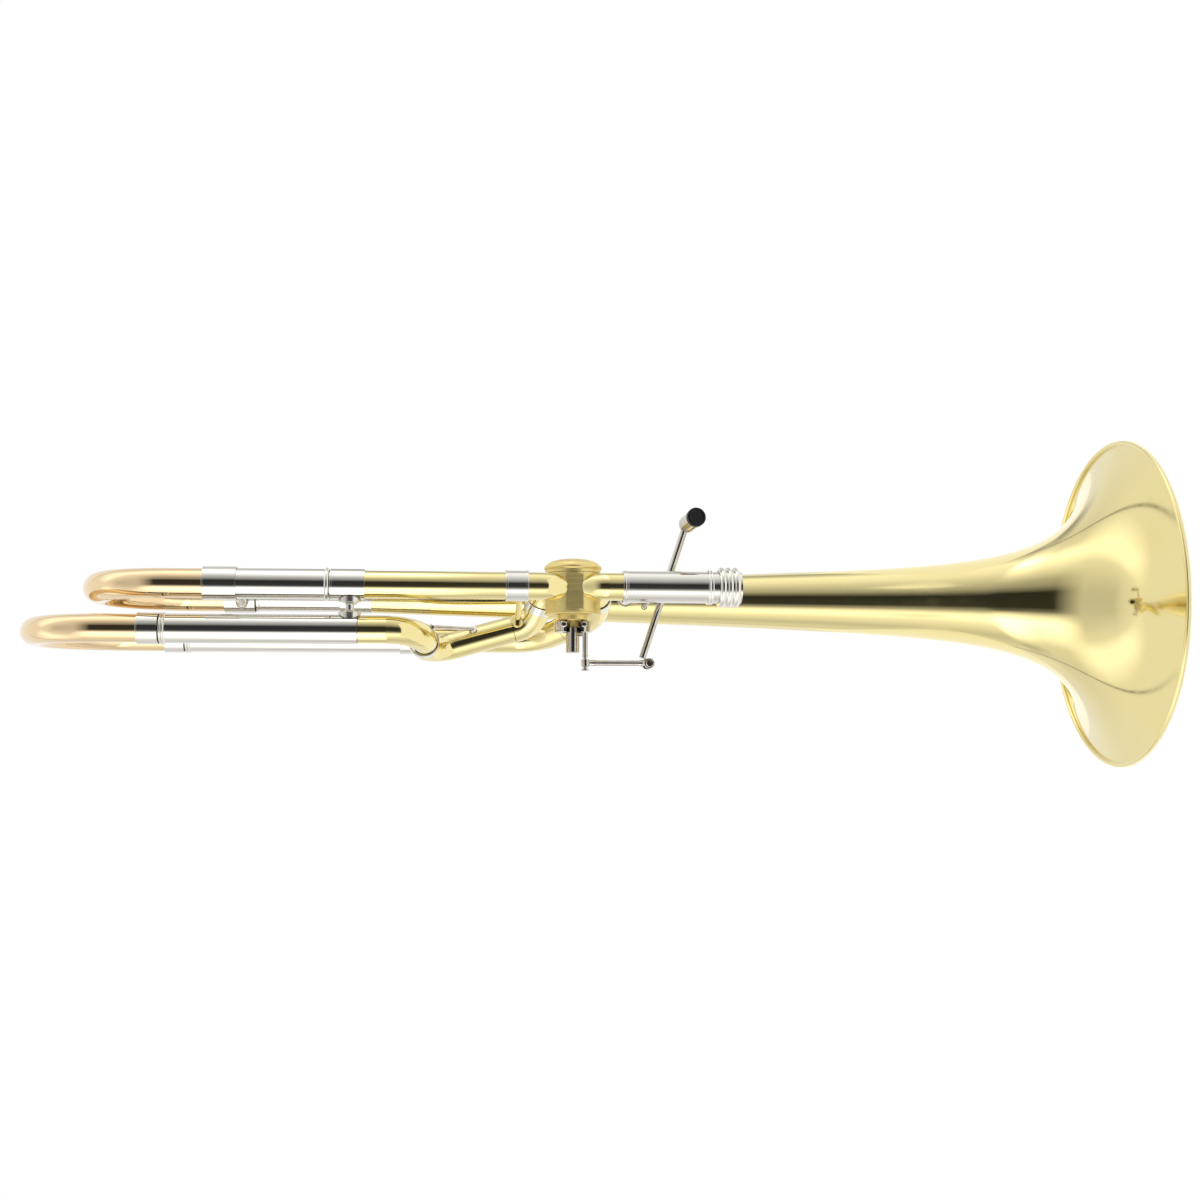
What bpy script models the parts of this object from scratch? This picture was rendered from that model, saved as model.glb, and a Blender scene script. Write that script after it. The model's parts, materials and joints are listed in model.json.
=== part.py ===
"""Bell section of a large-bore tenor trombone with an open-wrap F attachment.

Frame: the part stands on the rim of its bell. +Z runs up the axis of the bell, from the
mouth to the bows. The bell line lies on the Z axis and the neck line, which carries the
receiver and the valve, lies beside it at -Y. +X points to the side of the valve's screw
cap, -X to the side of the linkage and of the F tubing. Sizes are in metres.
"""

from math import asin, cos, degrees, pi, radians, sin, sqrt, tan

import bmesh
import bpy
from mathutils import Matrix, Vector

# Clearances
SEAT_GAP = 0.0003
BORE_REACH = 0.004

# Fineness of the facets
BELL_SIDES = 40
TUBE_SIDES = 16
SMALL_SIDES = 12
BOW_STEPS = 10
BEND_STEPS = 5

# Bell
BELL_MOUTH_DIAMETER = 0.2159
BELL_LENGTH = 0.4900
BELL_CONE_DIAMETER = 0.04849
BELL_CONE_TAPER = 0.0305
BELL_FLARE_REACH = 0.1040
BELL_FLARE_POWER = 3.7245
BELL_WALL = 0.0009
BELL_NECK_LENGTH = 0.006
BELL_STATIONS = 15
RIM_BEAD_DIAMETER = 0.0030
RIM_FLAT_DEPTH = 0.0002

# Lines and planes
LINE_SPACING = 0.094
F_PLANE_DROP = 0.026
TUBE_WALL = 0.0006
SLEEVE_WALL = 0.0006
END_CHAMFER = 0.0003

# Neck line
NECK_RUN = 0.1215
RECEIVER_DROP = 0.0980
RECEIVER_LENGTH = 0.070
RECEIVER_DIAMETER = 0.0188
RECEIVER_BORE = 0.0152
RECEIVER_SOCKET_DEPTH = 0.012
RECEIVER_RING_HEIGHT = 0.0170
RECEIVER_RING_WIDTH = 0.0032
RECEIVER_RING_DIAMETER = 0.0206
RECEIVER_END_RING_WIDTH = 0.0028
RECEIVER_END_RING_DIAMETER = 0.0194
COLLAR_OFFSET = 0.0012
COLLAR_LENGTH = 0.0123
COLLAR_DIAMETER = 0.0239
COLLAR_GROOVE_DEPTH = 0.0010
COLLAR_BEADS = 3
NECK_TUBE_DIAMETER = 0.0163
NECK_FERRULE_RISE = 0.0271
NECK_FERRULE_LENGTH = 0.0134
SLIDE_FERRULE_LENGTH = 0.0197

# Main tuning slide
MAIN_INNER_DIAMETER = 0.0160
MAIN_TRAVEL = 0.040
MAIN_SLIDE_HOLD = 0.0126
MOUTH_RING_LENGTH = 0.0028
MOUTH_RING_HEIGHT = 0.0008
BOW_FERRULE_LENGTH = 0.0189
BOW_LEG_HEIGHT = 0.0205
MAIN_BOW_NEAR_DIAMETER = 0.0171
MAIN_BOW_FAR_DIAMETER = 0.0182
FAR_RING_HEIGHT = 0.0004
SLIDE_END_INSET = 0.0030

# F tuning slide
F_TUBE_DIAMETER = 0.0164
F_SLIDE_RISE = 0.0038
F_OUTER_DIAMETER = 0.0171
F_TRAVEL = 0.080
F_SLIDE_HOLD = 0.0317
F_FERRULE_LENGTH = 0.0118
F_BOW_LEG_HEIGHT = 0.0202
F_FAR_DROP = 0.0270
F_RING_LENGTH = 0.0036

# Valve
VALVE_SETBACK = 0.014
CASING_DIAMETER = 0.0326
CASING_TOP = 0.0086
CASING_BOTTOM = -0.0158
CASING_FLOOR = 0.0032
CASING_BORE = 0.0280
CASING_NECK_DIAMETER = 0.0304
CASING_NECK_HEIGHT = 0.0046
CASING_LIP = 0.0006
PORT_BORE = 0.0138
KNUCKLE_BEND = 0.0090
ROTOR_PASSAGE = 0.0104
ROTOR_TOP_SPINDLE = 0.0060
SPINDLE_DIAMETER = 0.0066
STUB_DIAMETER = 0.0038
BEARING_THICKNESS = 0.0030
ROTOR_CHEEK = 0.0010
CAP_DIAMETER = 0.0340
CAP_HEIGHT = 0.0078
CAP_WALL = 0.0015
CAP_DOME = 0.0008

# Stop housing and stop arm, below the casing
BOSS_DIAMETER = 0.0180
BOSS_HEIGHT = 0.0036
HOUSING_DIAMETER = 0.0224
HOUSING_BORE = 0.0128
HOUSING_HEIGHT = 0.0064
HOUSING_WINDOW = 0.0084
HOUSING_FRONT = 0.0096
BUMPER_SPREAD = 0.0059
BUMPER_DIAMETER = 0.0028
BUMPER_DROP = 0.0021
BUMPER_TIP = 0.0016
STOP_SCREW_HEAD = 0.0038
STOP_SCREW_HEAD_LENGTH = 0.0012
SCREW_SLOT = 0.0006
LUG_RADIUS = 0.0049
LUG_WIDTH = 0.0020
LUG_HEIGHT = 0.0029
STUB_LENGTH = 0.0110
ARM_HUB_DIAMETER = 0.0081
ARM_HUB_LENGTH = 0.0150
ARM_HUB_EYE = 0.0018
CRANK_RADIUS = 0.0095
CRANK_THICKNESS = 0.0024
CRANK_WIDTH = 0.0036
POST_DIAMETER = 0.0034
PIN_DIAMETER = 0.0024
ROTOR_TURN = radians(90)

# Linkage
LINK_PLANE_DROP = 0.0445
LINK_DIAMETER = 0.0038
LINK_EYE_WIDTH = 0.0050
LINK_EYE_HEIGHT = 0.0042
LINK_EYE_WALL = 0.0006
LINK_SLOT_ROOM = 0.0002
LEVER_EYE_DIAMETER = 0.0060
LEVER_EYE_THICKNESS = 0.0034
NUT_DIAMETER = 0.0044
NUT_HEIGHT = 0.0012
NUT_CLEARANCE = 0.0012
LEVER_PIVOT_X = -0.0030
LEVER_PIVOT_DROP = 0.0492
LEVER_BALL_RISE = 0.0047
LEVER_SETBACK = 0.017
LEVER_LEAN = radians(18.3)
LEVER_ROD_DIAMETER = 0.0042
LEVER_ROD_OFFSET = 0.0049
LEVER_ROD_DOWN = 0.0385
LEVER_HUB_DIAMETER = 0.0084
LEVER_HUB_WIDTH = 0.0050
LEVER_FOOT_DIAMETER = 0.0066
STUD_DIAMETER = 0.0028
STUD_HEAD_DIAMETER = 0.0046
STUD_HEAD_THICKNESS = 0.0011
SADDLE_POST_DIAMETER = 0.0044
SADDLE_LENGTH = 0.0096
SADDLE_WIDTH = 0.0110
SADDLE_THICKNESS = 0.0012
PIVOT_SCREW_HEAD = 0.0068
PIVOT_SCREW_HEAD_HEIGHT = 0.0014
PIVOT_SCREW_SHANK = 0.0020
PIVOT_SCREW_DEPTH = 0.0045
SPRING_WIRE = 0.0006
SPRING_COIL_DIAMETER = 0.0070
SPRING_TURNS = 2
SPRING_LEG = 0.0120
ANCHOR_DIAMETER = 0.0018
ANCHOR_ASIDE = 0.0077
ANCHOR_RISE = 0.0069
SPRING_HOOK_ARC = radians(200)
THUMB_NEAR_OFFSET = Vector((0.0450, -0.0180, -0.0231))
THUMB_FAR_OFFSET = Vector((0.0425, 0.0020, -0.0196))
THUMB_DIAMETER = 0.0106
THUMB_CAP_DIAMETER = 0.0114
THUMB_CAP_LENGTH = 0.0034

# F wrap: corners of the two branches, as (rise above the valve or the foot of the near F tube,
# depth from the neck line, drop below the plane of the bell and neck lines), and the radius
# of the bend at each
UPPER_PORT_RUN = 0.0220
UPPER_TURN_OFFSET = (0.0230, 0.0430, 0.0195)
UPPER_CROSS_OFFSET = (-0.0377, 0.0450, 0.0375)
UPPER_RADII = (0.0120, 0.0160, 0.0180, 0.0220)
LOWER_PORT_RUN = 0.0220
LOWER_TURN_OFFSET = (-0.0180, 0.0560, 0.0135)
LOWER_RETURN_RISE = 0.0160
LOWER_RADII = (0.0120, 0.0340, 0.0340)
PORT_FERRULE_LENGTH = 0.0050
CROSS_FERRULE_LENGTH = 0.0046
RETURN_FERRULE_LENGTH = 0.0180

# Braces
BRACE_ROD_DIAMETER = 0.0050
BRACE_FLANGE_DIAMETER = 0.0110
BRACE_FLANGE_THICKNESS = 0.0010
SMALL_ROD_DIAMETER = 0.0036
SMALL_FLANGE_DIAMETER = 0.0078
RECEIVER_BRACE_RISE = 0.0595
BELL_BRACE_RISE = 0.0120
DROP_POST_RISE = 0.0085
DROP_FLANGE_DIAMETER = 0.0130
MAIN_BRACE_RISE = 0.0074
MAIN_BRACE_DROP = 0.0040
F_BRACE_RISE = 0.0074
STAY_DIAMETER = 0.0024
STAY_FLANGE_DIAMETER = 0.0050
STAY_FLANGE_THICKNESS = 0.0012
STAY_DROP = 0.0291
BRACKET_DIAMETER = 0.0036
BRACKET_FLANGE_DIAMETER = 0.0080

# Derived places
NECK_Y = -LINE_SPACING
VALVE_Y = NECK_Y + VALVE_SETBACK
SLEEVE_REACH = SEAT_GAP + SLEEVE_WALL
SLIDE_BASE = BELL_LENGTH
VALVE_HEIGHT = SLIDE_BASE - NECK_RUN
RECEIVER_MOUTH_HEIGHT = VALVE_HEIGHT - RECEIVER_DROP
NECK_FERRULE_HEIGHT = VALVE_HEIGHT + NECK_FERRULE_RISE
RECEIVER_TOP = RECEIVER_MOUTH_HEIGHT + RECEIVER_LENGTH
MAIN_OUTER_DIAMETER = MAIN_INNER_DIAMETER + 2 * (SEAT_GAP + TUBE_WALL)
FAR_OUTER_DIAMETER = MAIN_OUTER_DIAMETER
SLIDE_FERRULE_TOP = SLIDE_BASE + SLIDE_FERRULE_LENGTH
MAIN_OUTER_TOP = SLIDE_FERRULE_TOP + SEAT_GAP + MAIN_TRAVEL + MAIN_SLIDE_HOLD
BOW_FERRULE_TOP = MAIN_OUTER_TOP + BOW_FERRULE_LENGTH
MAIN_BOW_BASE = BOW_FERRULE_TOP + BOW_LEG_HEIGHT
F_SLIDE_BASE = SLIDE_BASE + F_SLIDE_RISE
F_FAR_BASE = SLIDE_BASE - F_FAR_DROP
F_SLIDE_TOP = F_SLIDE_BASE + F_TRAVEL + F_SLIDE_HOLD
F_FERRULE_BASE = F_SLIDE_TOP + SEAT_GAP
F_FERRULE_TOP = F_FERRULE_BASE + F_FERRULE_LENGTH
F_BOW_BASE = F_FERRULE_TOP + F_BOW_LEG_HEIGHT
HOUSING_TOP = CASING_BOTTOM - BOSS_HEIGHT - SEAT_GAP
HOUSING_BOTTOM = HOUSING_TOP - HOUSING_HEIGHT
CRANK_TOP = HOUSING_BOTTOM - SEAT_GAP
CRANK_OFFSET = CRANK_RADIUS / sqrt(2)
PIN_SWING = CRANK_RADIUS - CRANK_OFFSET
LINK_Y = VALVE_Y - CRANK_OFFSET - PIN_SWING / 2
LEVER_Y = NECK_Y + LEVER_SETBACK
LEVER_PIVOT = Vector((LEVER_PIVOT_X, LEVER_Y, VALVE_HEIGHT - LEVER_PIVOT_DROP))
LEVER_BALL = Vector((-LINK_PLANE_DROP, LINK_Y, LEVER_PIVOT.z + LEVER_BALL_RISE))
THUMB_NEAR = LEVER_PIVOT + THUMB_NEAR_OFFSET
THUMB_FAR = LEVER_PIVOT + THUMB_FAR_OFFSET
ANCHOR_POINT = (LEVER_PIVOT.x - ANCHOR_ASIDE, LEVER_PIVOT.z + ANCHOR_RISE)
CRANK_PIN = Vector((-LINK_PLANE_DROP, LINK_Y, VALVE_HEIGHT - CRANK_OFFSET))
VALVE_CENTRE = Vector((0, VALVE_Y, VALVE_HEIGHT))
UPPER_TURN = (VALVE_HEIGHT + UPPER_TURN_OFFSET[0], *UPPER_TURN_OFFSET[1:])
UPPER_CROSS = (F_SLIDE_BASE + UPPER_CROSS_OFFSET[0], *UPPER_CROSS_OFFSET[1:])
LOWER_TURN = (VALVE_HEIGHT + LOWER_TURN_OFFSET[0], *LOWER_TURN_OFFSET[1:])
LOWER_RETURN_HEIGHT = VALVE_HEIGHT + LOWER_RETURN_RISE
RECEIVER_BRACE_HEIGHT = RECEIVER_MOUTH_HEIGHT + RECEIVER_BRACE_RISE
BELL_BRACE_HEIGHT = SLIDE_BASE + BELL_BRACE_RISE
DROP_POST_HEIGHT = SLIDE_BASE + DROP_POST_RISE
MAIN_BRACE_HEIGHT = MAIN_OUTER_TOP + MAIN_BRACE_RISE
F_BRACE_HEIGHT = F_FERRULE_BASE + F_BRACE_RISE
STAY_HEIGHT = UPPER_CROSS[0] - STAY_DROP


def linear(channel):
    """Linear value of one sRGB channel between 0 and 1."""
    return channel / 12.92 if channel <= 0.04045 else ((channel + 0.055) / 1.055) ** 2.4


def finish(name, rgb, roughness, metallic):
    """A Principled material from an sRGB colour in 0 to 255."""
    mat = bpy.data.materials.new(name)
    mat.use_nodes = True
    shader = mat.node_tree.nodes["Principled BSDF"]
    colour = [linear(c / 255) for c in rgb]
    shader.inputs["Base Color"].default_value = (*colour, 1)
    shader.inputs["Roughness"].default_value = roughness
    shader.inputs["Metallic"].default_value = metallic
    mat.diffuse_color = (*colour, 1)
    return mat


def yellow_brass():
    return finish("yellow_brass", (233, 218, 152), 0.12, 1.0)


def rose_brass():
    return finish("rose_brass", (236, 203, 150), 0.14, 1.0)


def nickel_silver():
    return finish("nickel_silver", (224, 223, 216), 0.12, 1.0)


def black_plastic():
    return finish("black_plastic", (24, 21, 22), 0.35, 0.0)


def rubber():
    return finish("rubber", (38, 38, 40), 0.80, 0.0)


def spring_steel():
    return finish("spring_steel", (150, 152, 156), 0.25, 1.0)


def new_object(name, bm, mat, origin=Vector()):
    """Close up a bmesh given in world places into an object with its origin at origin."""
    bmesh.ops.remove_doubles(bm, verts=bm.verts, dist=1e-6)
    bmesh.ops.recalc_face_normals(bm, faces=bm.faces)
    bm.transform(Matrix.Translation(-origin))
    mesh = bpy.data.meshes.new(name)
    bm.to_mesh(mesh)
    bm.free()
    mesh.shade_smooth()
    mesh.set_sharp_from_angle(angle=radians(32))
    obj = bpy.data.objects.new(name, mesh)
    obj.location = origin
    bpy.context.scene.collection.objects.link(obj)
    if mat is not None:
        mesh.materials.append(mat)
    return obj


def frame_of(point, axis):
    """Matrix that carries +Z at the origin to axis at point."""
    turn = Vector((0, 0, 1)).rotation_difference(Vector(axis).normalized())
    return Matrix.Translation(point) @ turn.to_matrix().to_4x4()


def turned(name, profile, mat, point, axis=(0, 0, 1), sides=TUBE_SIDES, origin=None):
    """Turn a profile of (radius, height) pairs about axis through point.

    A profile that starts and ends at radius 0 is a solid, any other is a closed ring.
    """
    bm = bmesh.new()
    verts = [bm.verts.new((r, 0, z)) for r, z in profile]
    edges = [bm.edges.new(pair) for pair in zip(verts, verts[1:])]
    if profile[0][0] > 0:
        edges.append(bm.edges.new((verts[-1], verts[0])))
    bmesh.ops.spin(bm, geom=verts + edges, cent=(0, 0, 0), axis=(0, 0, 1), angle=2 * pi,
                   steps=sides, use_merge=True)
    bm.transform(frame_of(point, axis))
    return new_object(name, bm, mat, Vector(point) if origin is None else origin)


def rings_along(bm, path, radii, sides):
    """Rings of vertices round a path, carried along it without twist."""
    rings = []
    tangents = [(b - a).normalized() for a, b in zip(path, path[1:])]
    normal = tangents[0].orthogonal().normalized()
    for i, point in enumerate(path):
        before = tangents[max(i - 1, 0)]
        after = tangents[min(i, len(tangents) - 1)]
        tangent = (before + after).normalized()
        normal = (normal - tangent * normal.dot(tangent)).normalized()
        side = tangent.cross(normal)
        ring = []
        for k in range(sides):
            angle = 2 * pi * k / sides
            spoke = normal * cos(angle) + side * sin(angle)
            ring.append(bm.verts.new(point + spoke * radii[i]))
        rings.append(ring)
    return rings


def skin(bm, rings):
    """Quads between each ring and the next."""
    for low, high in zip(rings, rings[1:]):
        for k in range(len(low)):
            j = (k + 1) % len(low)
            bm.faces.new((low[k], low[j], high[j], high[k]))


def tube(name, path, outer, inner, mat, sides=TUBE_SIDES, origin=None):
    """Tube along a path; outer and inner are radii, one value or one per point.

    An inner radius of 0 makes a solid rod with flat ends.
    """
    outer = outer if isinstance(outer, list) else [outer] * len(path)
    bm = bmesh.new()
    shell = rings_along(bm, path, outer, sides)
    if inner == 0:
        skin(bm, shell)
        bm.faces.new(shell[0])
        bm.faces.new(shell[-1])
    else:
        inner = inner if isinstance(inner, list) else [inner] * len(path)
        bore = rings_along(bm, path, inner, sides)
        skin(bm, shell + bore[::-1] + [shell[0]])
    return new_object(name, bm, mat, path[0].copy() if origin is None else origin)


def rounded_route(points, radii, steps=BEND_STEPS):
    """Points of a line through corners, each corner rounded by its radius."""
    route = [points[0]]
    for a, b, c, radius in zip(points, points[1:], points[2:], radii):
        into = (b - a).normalized()
        out = (c - b).normalized()
        turn = into.angle(out)
        reach = radius * tan(turn / 2)
        centre = b - into * reach + (out - into * into.dot(out)).normalized() * radius
        start = b - into * reach - centre
        axis = into.cross(out).normalized()
        for i in range(steps + 1):
            route.append(centre + Matrix.Rotation(turn * i / steps, 3, axis) @ start)
    route.append(points[-1])
    return route


def box(name, low, high, mat=None, turn=None, point=Vector()):
    """Block between two corners, turned about point if turn is given."""
    bm = bmesh.new()
    bmesh.ops.create_cube(bm, size=1)
    low, high = Vector(low), Vector(high)
    bmesh.ops.scale(bm, vec=high - low, verts=bm.verts)
    bmesh.ops.translate(bm, vec=(low + high) / 2, verts=bm.verts)
    if turn is not None:
        bm.transform(Matrix.Translation(point) @ turn @ Matrix.Translation(-point))
    return new_object(name, bm, mat, (low + high) / 2)


def hide_tool(obj):
    """Keep a cutting or joining shape out of the model."""
    obj.hide_render = True
    obj.display_type = "WIRE"
    return obj


def boolean(target, tool, operation):
    """Change target by tool, which stays as a hidden shape."""
    hide_tool(tool)
    mod = target.modifiers.new(tool.name, "BOOLEAN")
    mod.operation = operation
    mod.solver = "EXACT"
    mod.object = tool
    return target


def cut(target, tool):
    return boolean(target, tool, "DIFFERENCE")


def join(target, tool):
    return boolean(target, tool, "UNION")


def plug(name, start, end, radius, sides=SMALL_SIDES):
    """Solid cylinder between two points, for cutting or joining."""
    return tube(name, [Vector(start), Vector(end)], radius, 0, None, sides)


def sleeve_profile(inner, outer, length):
    """Ring section with chamfered outer edges."""
    c = END_CHAMFER
    return [(inner, 0), (outer - c, 0), (outer, c), (outer, length - c),
            (outer - c, length), (inner, length)]


def sleeve(name, middle, axis, inside_diameter, length, mat, origin=None):
    """Ferrule that seats round a tube of the given diameter, centred on middle."""
    inner = inside_diameter / 2 + SEAT_GAP
    axis = Vector(axis).normalized()
    profile = sleeve_profile(inner, inner + SLEEVE_WALL, length)
    return turned(name, profile, mat, middle - axis * length / 2, axis, origin=origin)


def neck_point(height, drop=0):
    return Vector((-drop, NECK_Y, height))


def bell_point(height, drop=0):
    return Vector((-drop, 0, height))


def wrap_point(corner):
    """World place of a corner of the F wrap."""
    height, depth, drop = corner
    return Vector((-drop, NECK_Y + depth, height))


def flare_radius(height):
    """Outer radius of the bell at a height above its mouth: a slender cone plus the flare."""
    cone = BELL_CONE_DIAMETER / 2
    flare = (BELL_MOUTH_DIAMETER / 2 - cone) * (1 + height / BELL_FLARE_REACH) ** -BELL_FLARE_POWER
    return cone - BELL_CONE_TAPER * height + flare


def flare_height(radius):
    """Height above the mouth at which the bell has an outer radius, by halving."""
    low, high = 0, BELL_LENGTH
    for _ in range(40):
        middle = (low + high) / 2
        low, high = (middle, high) if flare_radius(middle) > radius else (low, middle)
    return low


def bell_outline():
    """Outer points of the bell, closer together where the flare is steep."""
    bead = RIM_BEAD_DIAMETER / 2
    first = BELL_MOUTH_DIAMETER / 2 - 2 * bead - SEAT_GAP
    last = flare_radius(BELL_LENGTH)
    points = []
    for i in range(BELL_STATIONS + 1):
        radius = last * (first / last) ** (1 - i / BELL_STATIONS)
        points.append(Vector((radius, flare_height(radius))))
    return points


def offset_inward(points, wall):
    """The same line moved by wall towards the axis, square to itself."""
    moved = []
    for i, point in enumerate(points):
        along = points[min(i + 1, len(points) - 1)] - points[max(i - 1, 0)]
        square = Vector((-along.y, along.x)).normalized()
        moved.append(point + square * (wall if square.x < 0 else -wall))
    return moved


def bell_body():
    """Sheet of the bell, drawn in at its tail to enter the ferrule."""
    outer = bell_outline()
    inner = offset_inward(outer, BELL_WALL)
    inner[-1].y = outer[-1].y
    neck = FAR_OUTER_DIAMETER / 2
    top = BELL_LENGTH + BELL_NECK_LENGTH
    profile = [tuple(p) for p in outer] + [(neck, BELL_LENGTH), (neck, top)]
    profile += [(neck - TUBE_WALL, top)] + [tuple(p) for p in reversed(inner)]
    return turned("bell", profile, yellow_brass(), Vector(), sides=BELL_SIDES)


def bell_rim_bead():
    """Wire bead of the rim, flat where the bell stands."""
    bead = RIM_BEAD_DIAMETER / 2
    centre = BELL_MOUTH_DIAMETER / 2 - bead
    half = sqrt(bead ** 2 - (bead - RIM_FLAT_DEPTH) ** 2)
    profile = [(centre - half, 0), (centre + half, 0)]
    for i in range(1, 7):
        angle = radians(-60 + 40 * i)
        profile.append((centre + bead * cos(angle), bead - RIM_FLAT_DEPTH + bead * sin(angle)))
    return turned("bell_rim_bead", profile, yellow_brass(), Vector(), sides=BELL_SIDES)


def bell_tail_ferrule():
    """Sleeve from the bell's tail to the far outer slide tube."""
    foot = BELL_LENGTH + SEAT_GAP
    middle = bell_point((foot + SLIDE_FERRULE_TOP) / 2)
    return sleeve("bell_tail_ferrule", middle, (0, 0, 1), FAR_OUTER_DIAMETER,
                  SLIDE_FERRULE_TOP - foot, nickel_silver())


def outer_tube(name, foot, length, diameter, ring_at_top, ring_length, ring_height):
    """Outer slide tube with a mouth ring at one end, turned in one piece."""
    outer = diameter / 2
    inner = outer - TUBE_WALL
    ring = outer + ring_height
    profile = [(inner, 0), (outer, 0), (outer, length - ring_length),
               (ring, length - ring_length), (ring, length), (inner, length)]
    if not ring_at_top:
        profile = [(r, length - z) for r, z in reversed(profile)]
    return turned(name, profile, nickel_silver(), foot)


def main_far_outer():
    foot = bell_point(BELL_LENGTH + BELL_NECK_LENGTH + SEAT_GAP)
    length = MAIN_OUTER_TOP - SEAT_GAP - foot.z
    return outer_tube("main_outer_tube_far", foot, length, FAR_OUTER_DIAMETER, True,
                      MOUTH_RING_LENGTH, FAR_RING_HEIGHT)


def main_near_fixed():
    """Neck side of the main slide: ferrule and inner tube, both fixed."""
    middle = neck_point(SLIDE_BASE + SLIDE_FERRULE_LENGTH / 2)
    widest = max(NECK_TUBE_DIAMETER, MAIN_INNER_DIAMETER)
    sleeve("main_fixed_ferrule_near", middle, (0, 0, 1), widest, SLIDE_FERRULE_LENGTH,
           nickel_silver())
    foot = neck_point(middle.z + SEAT_GAP / 2)
    top = neck_point(MAIN_OUTER_TOP - SLIDE_END_INSET)
    tube("main_inner_tube_near", [foot, top], MAIN_INNER_DIAMETER / 2,
         MAIN_INNER_DIAMETER / 2 - TUBE_WALL, nickel_silver())


def neck_tubes():
    """Neck tube with the ferrule that joins it to the upper knuckle."""
    joint = NECK_FERRULE_HEIGHT + NECK_FERRULE_LENGTH / 2
    sleeve("neck_ferrule", neck_point(joint), (0, 0, 1), NECK_TUBE_DIAMETER,
           NECK_FERRULE_LENGTH, nickel_silver())
    path = [neck_point(joint + SEAT_GAP / 2),
            neck_point(SLIDE_BASE + SLIDE_FERRULE_LENGTH / 2 - SEAT_GAP / 2)]
    radius = NECK_TUBE_DIAMETER / 2
    tube("neck_tube", path, radius, radius - TUBE_WALL, yellow_brass())


def receiver():
    """Receiver sleeve with its two rings, and the socket for the neck knuckle."""
    bore = RECEIVER_BORE / 2
    body = RECEIVER_DIAMETER / 2
    socket = NECK_TUBE_DIAMETER / 2 + SEAT_GAP
    ring = RECEIVER_RING_HEIGHT
    end = RECEIVER_LENGTH - RECEIVER_END_RING_WIDTH
    floor = RECEIVER_LENGTH - RECEIVER_SOCKET_DEPTH
    profile = [(bore, 0), (body, 0), (body, ring), (RECEIVER_RING_DIAMETER / 2, ring),
               (RECEIVER_RING_DIAMETER / 2, ring + RECEIVER_RING_WIDTH),
               (body, ring + RECEIVER_RING_WIDTH), (body, end),
               (RECEIVER_END_RING_DIAMETER / 2, end),
               (RECEIVER_END_RING_DIAMETER / 2, RECEIVER_LENGTH),
               (socket, RECEIVER_LENGTH), (socket, floor), (bore, floor)]
    return turned("receiver_sleeve", profile, nickel_silver(),
                  neck_point(RECEIVER_MOUTH_HEIGHT))


def receiver_collar():
    """Threaded collar round the receiver, with its coarse rounded beads."""
    inner = RECEIVER_DIAMETER / 2 + SEAT_GAP
    crest = COLLAR_DIAMETER / 2
    root = crest - COLLAR_GROOVE_DEPTH
    pitch = COLLAR_LENGTH / COLLAR_BEADS
    profile = [(inner, 0)]
    for i in range(COLLAR_BEADS):
        profile += [(root, pitch * i), (crest, pitch * (i + 0.3)), (crest, pitch * (i + 0.7))]
    profile += [(root, COLLAR_LENGTH), (inner, COLLAR_LENGTH)]
    foot = neck_point(RECEIVER_MOUTH_HEIGHT + COLLAR_OFFSET)
    return turned("receiver_collar", profile, nickel_silver(), foot, sides=TUBE_SIDES + 4)


def port_direction(height_sign, depth_sign):
    """Direction of a valve port, square to the rotor's axis."""
    return Vector((0, depth_sign, height_sign)).normalized()


def casing_cutter(name):
    """Room for the casing in the tube that meets it."""
    radius = CASING_DIAMETER / 2 + SEAT_GAP
    start = VALVE_CENTRE + Vector((CASING_BOTTOM - BORE_REACH, 0, 0))
    end = VALVE_CENTRE + Vector((CASING_TOP + BORE_REACH, 0, 0))
    return plug(name, start, end, radius, sides=2 * TUBE_SIDES)


def knuckle(name, path):
    """Bent tube from a valve port, cut to the round of the casing."""
    radius = NECK_TUBE_DIAMETER / 2
    obj = tube(name, path, radius, radius - TUBE_WALL, yellow_brass())
    return cut(obj, casing_cutter("room_" + name))


def neck_knuckles():
    """Two knuckles that lead from the neck line to the near ports."""
    start = CASING_DIAMETER / 2 - BORE_REACH
    ends = {"upper": NECK_FERRULE_HEIGHT + NECK_FERRULE_LENGTH / 2 - SEAT_GAP / 2,
            "lower": RECEIVER_TOP - RECEIVER_SOCKET_DEPTH + SEAT_GAP}
    for side, sign in (("upper", 1), ("lower", -1)):
        way = port_direction(sign, -1)
        corner = neck_point(VALVE_HEIGHT + sign * VALVE_SETBACK)
        points = [VALVE_CENTRE + way * start, corner, neck_point(ends[side])]
        knuckle("knuckle_neck_" + side, rounded_route(points, [KNUCKLE_BEND], 4))


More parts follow.
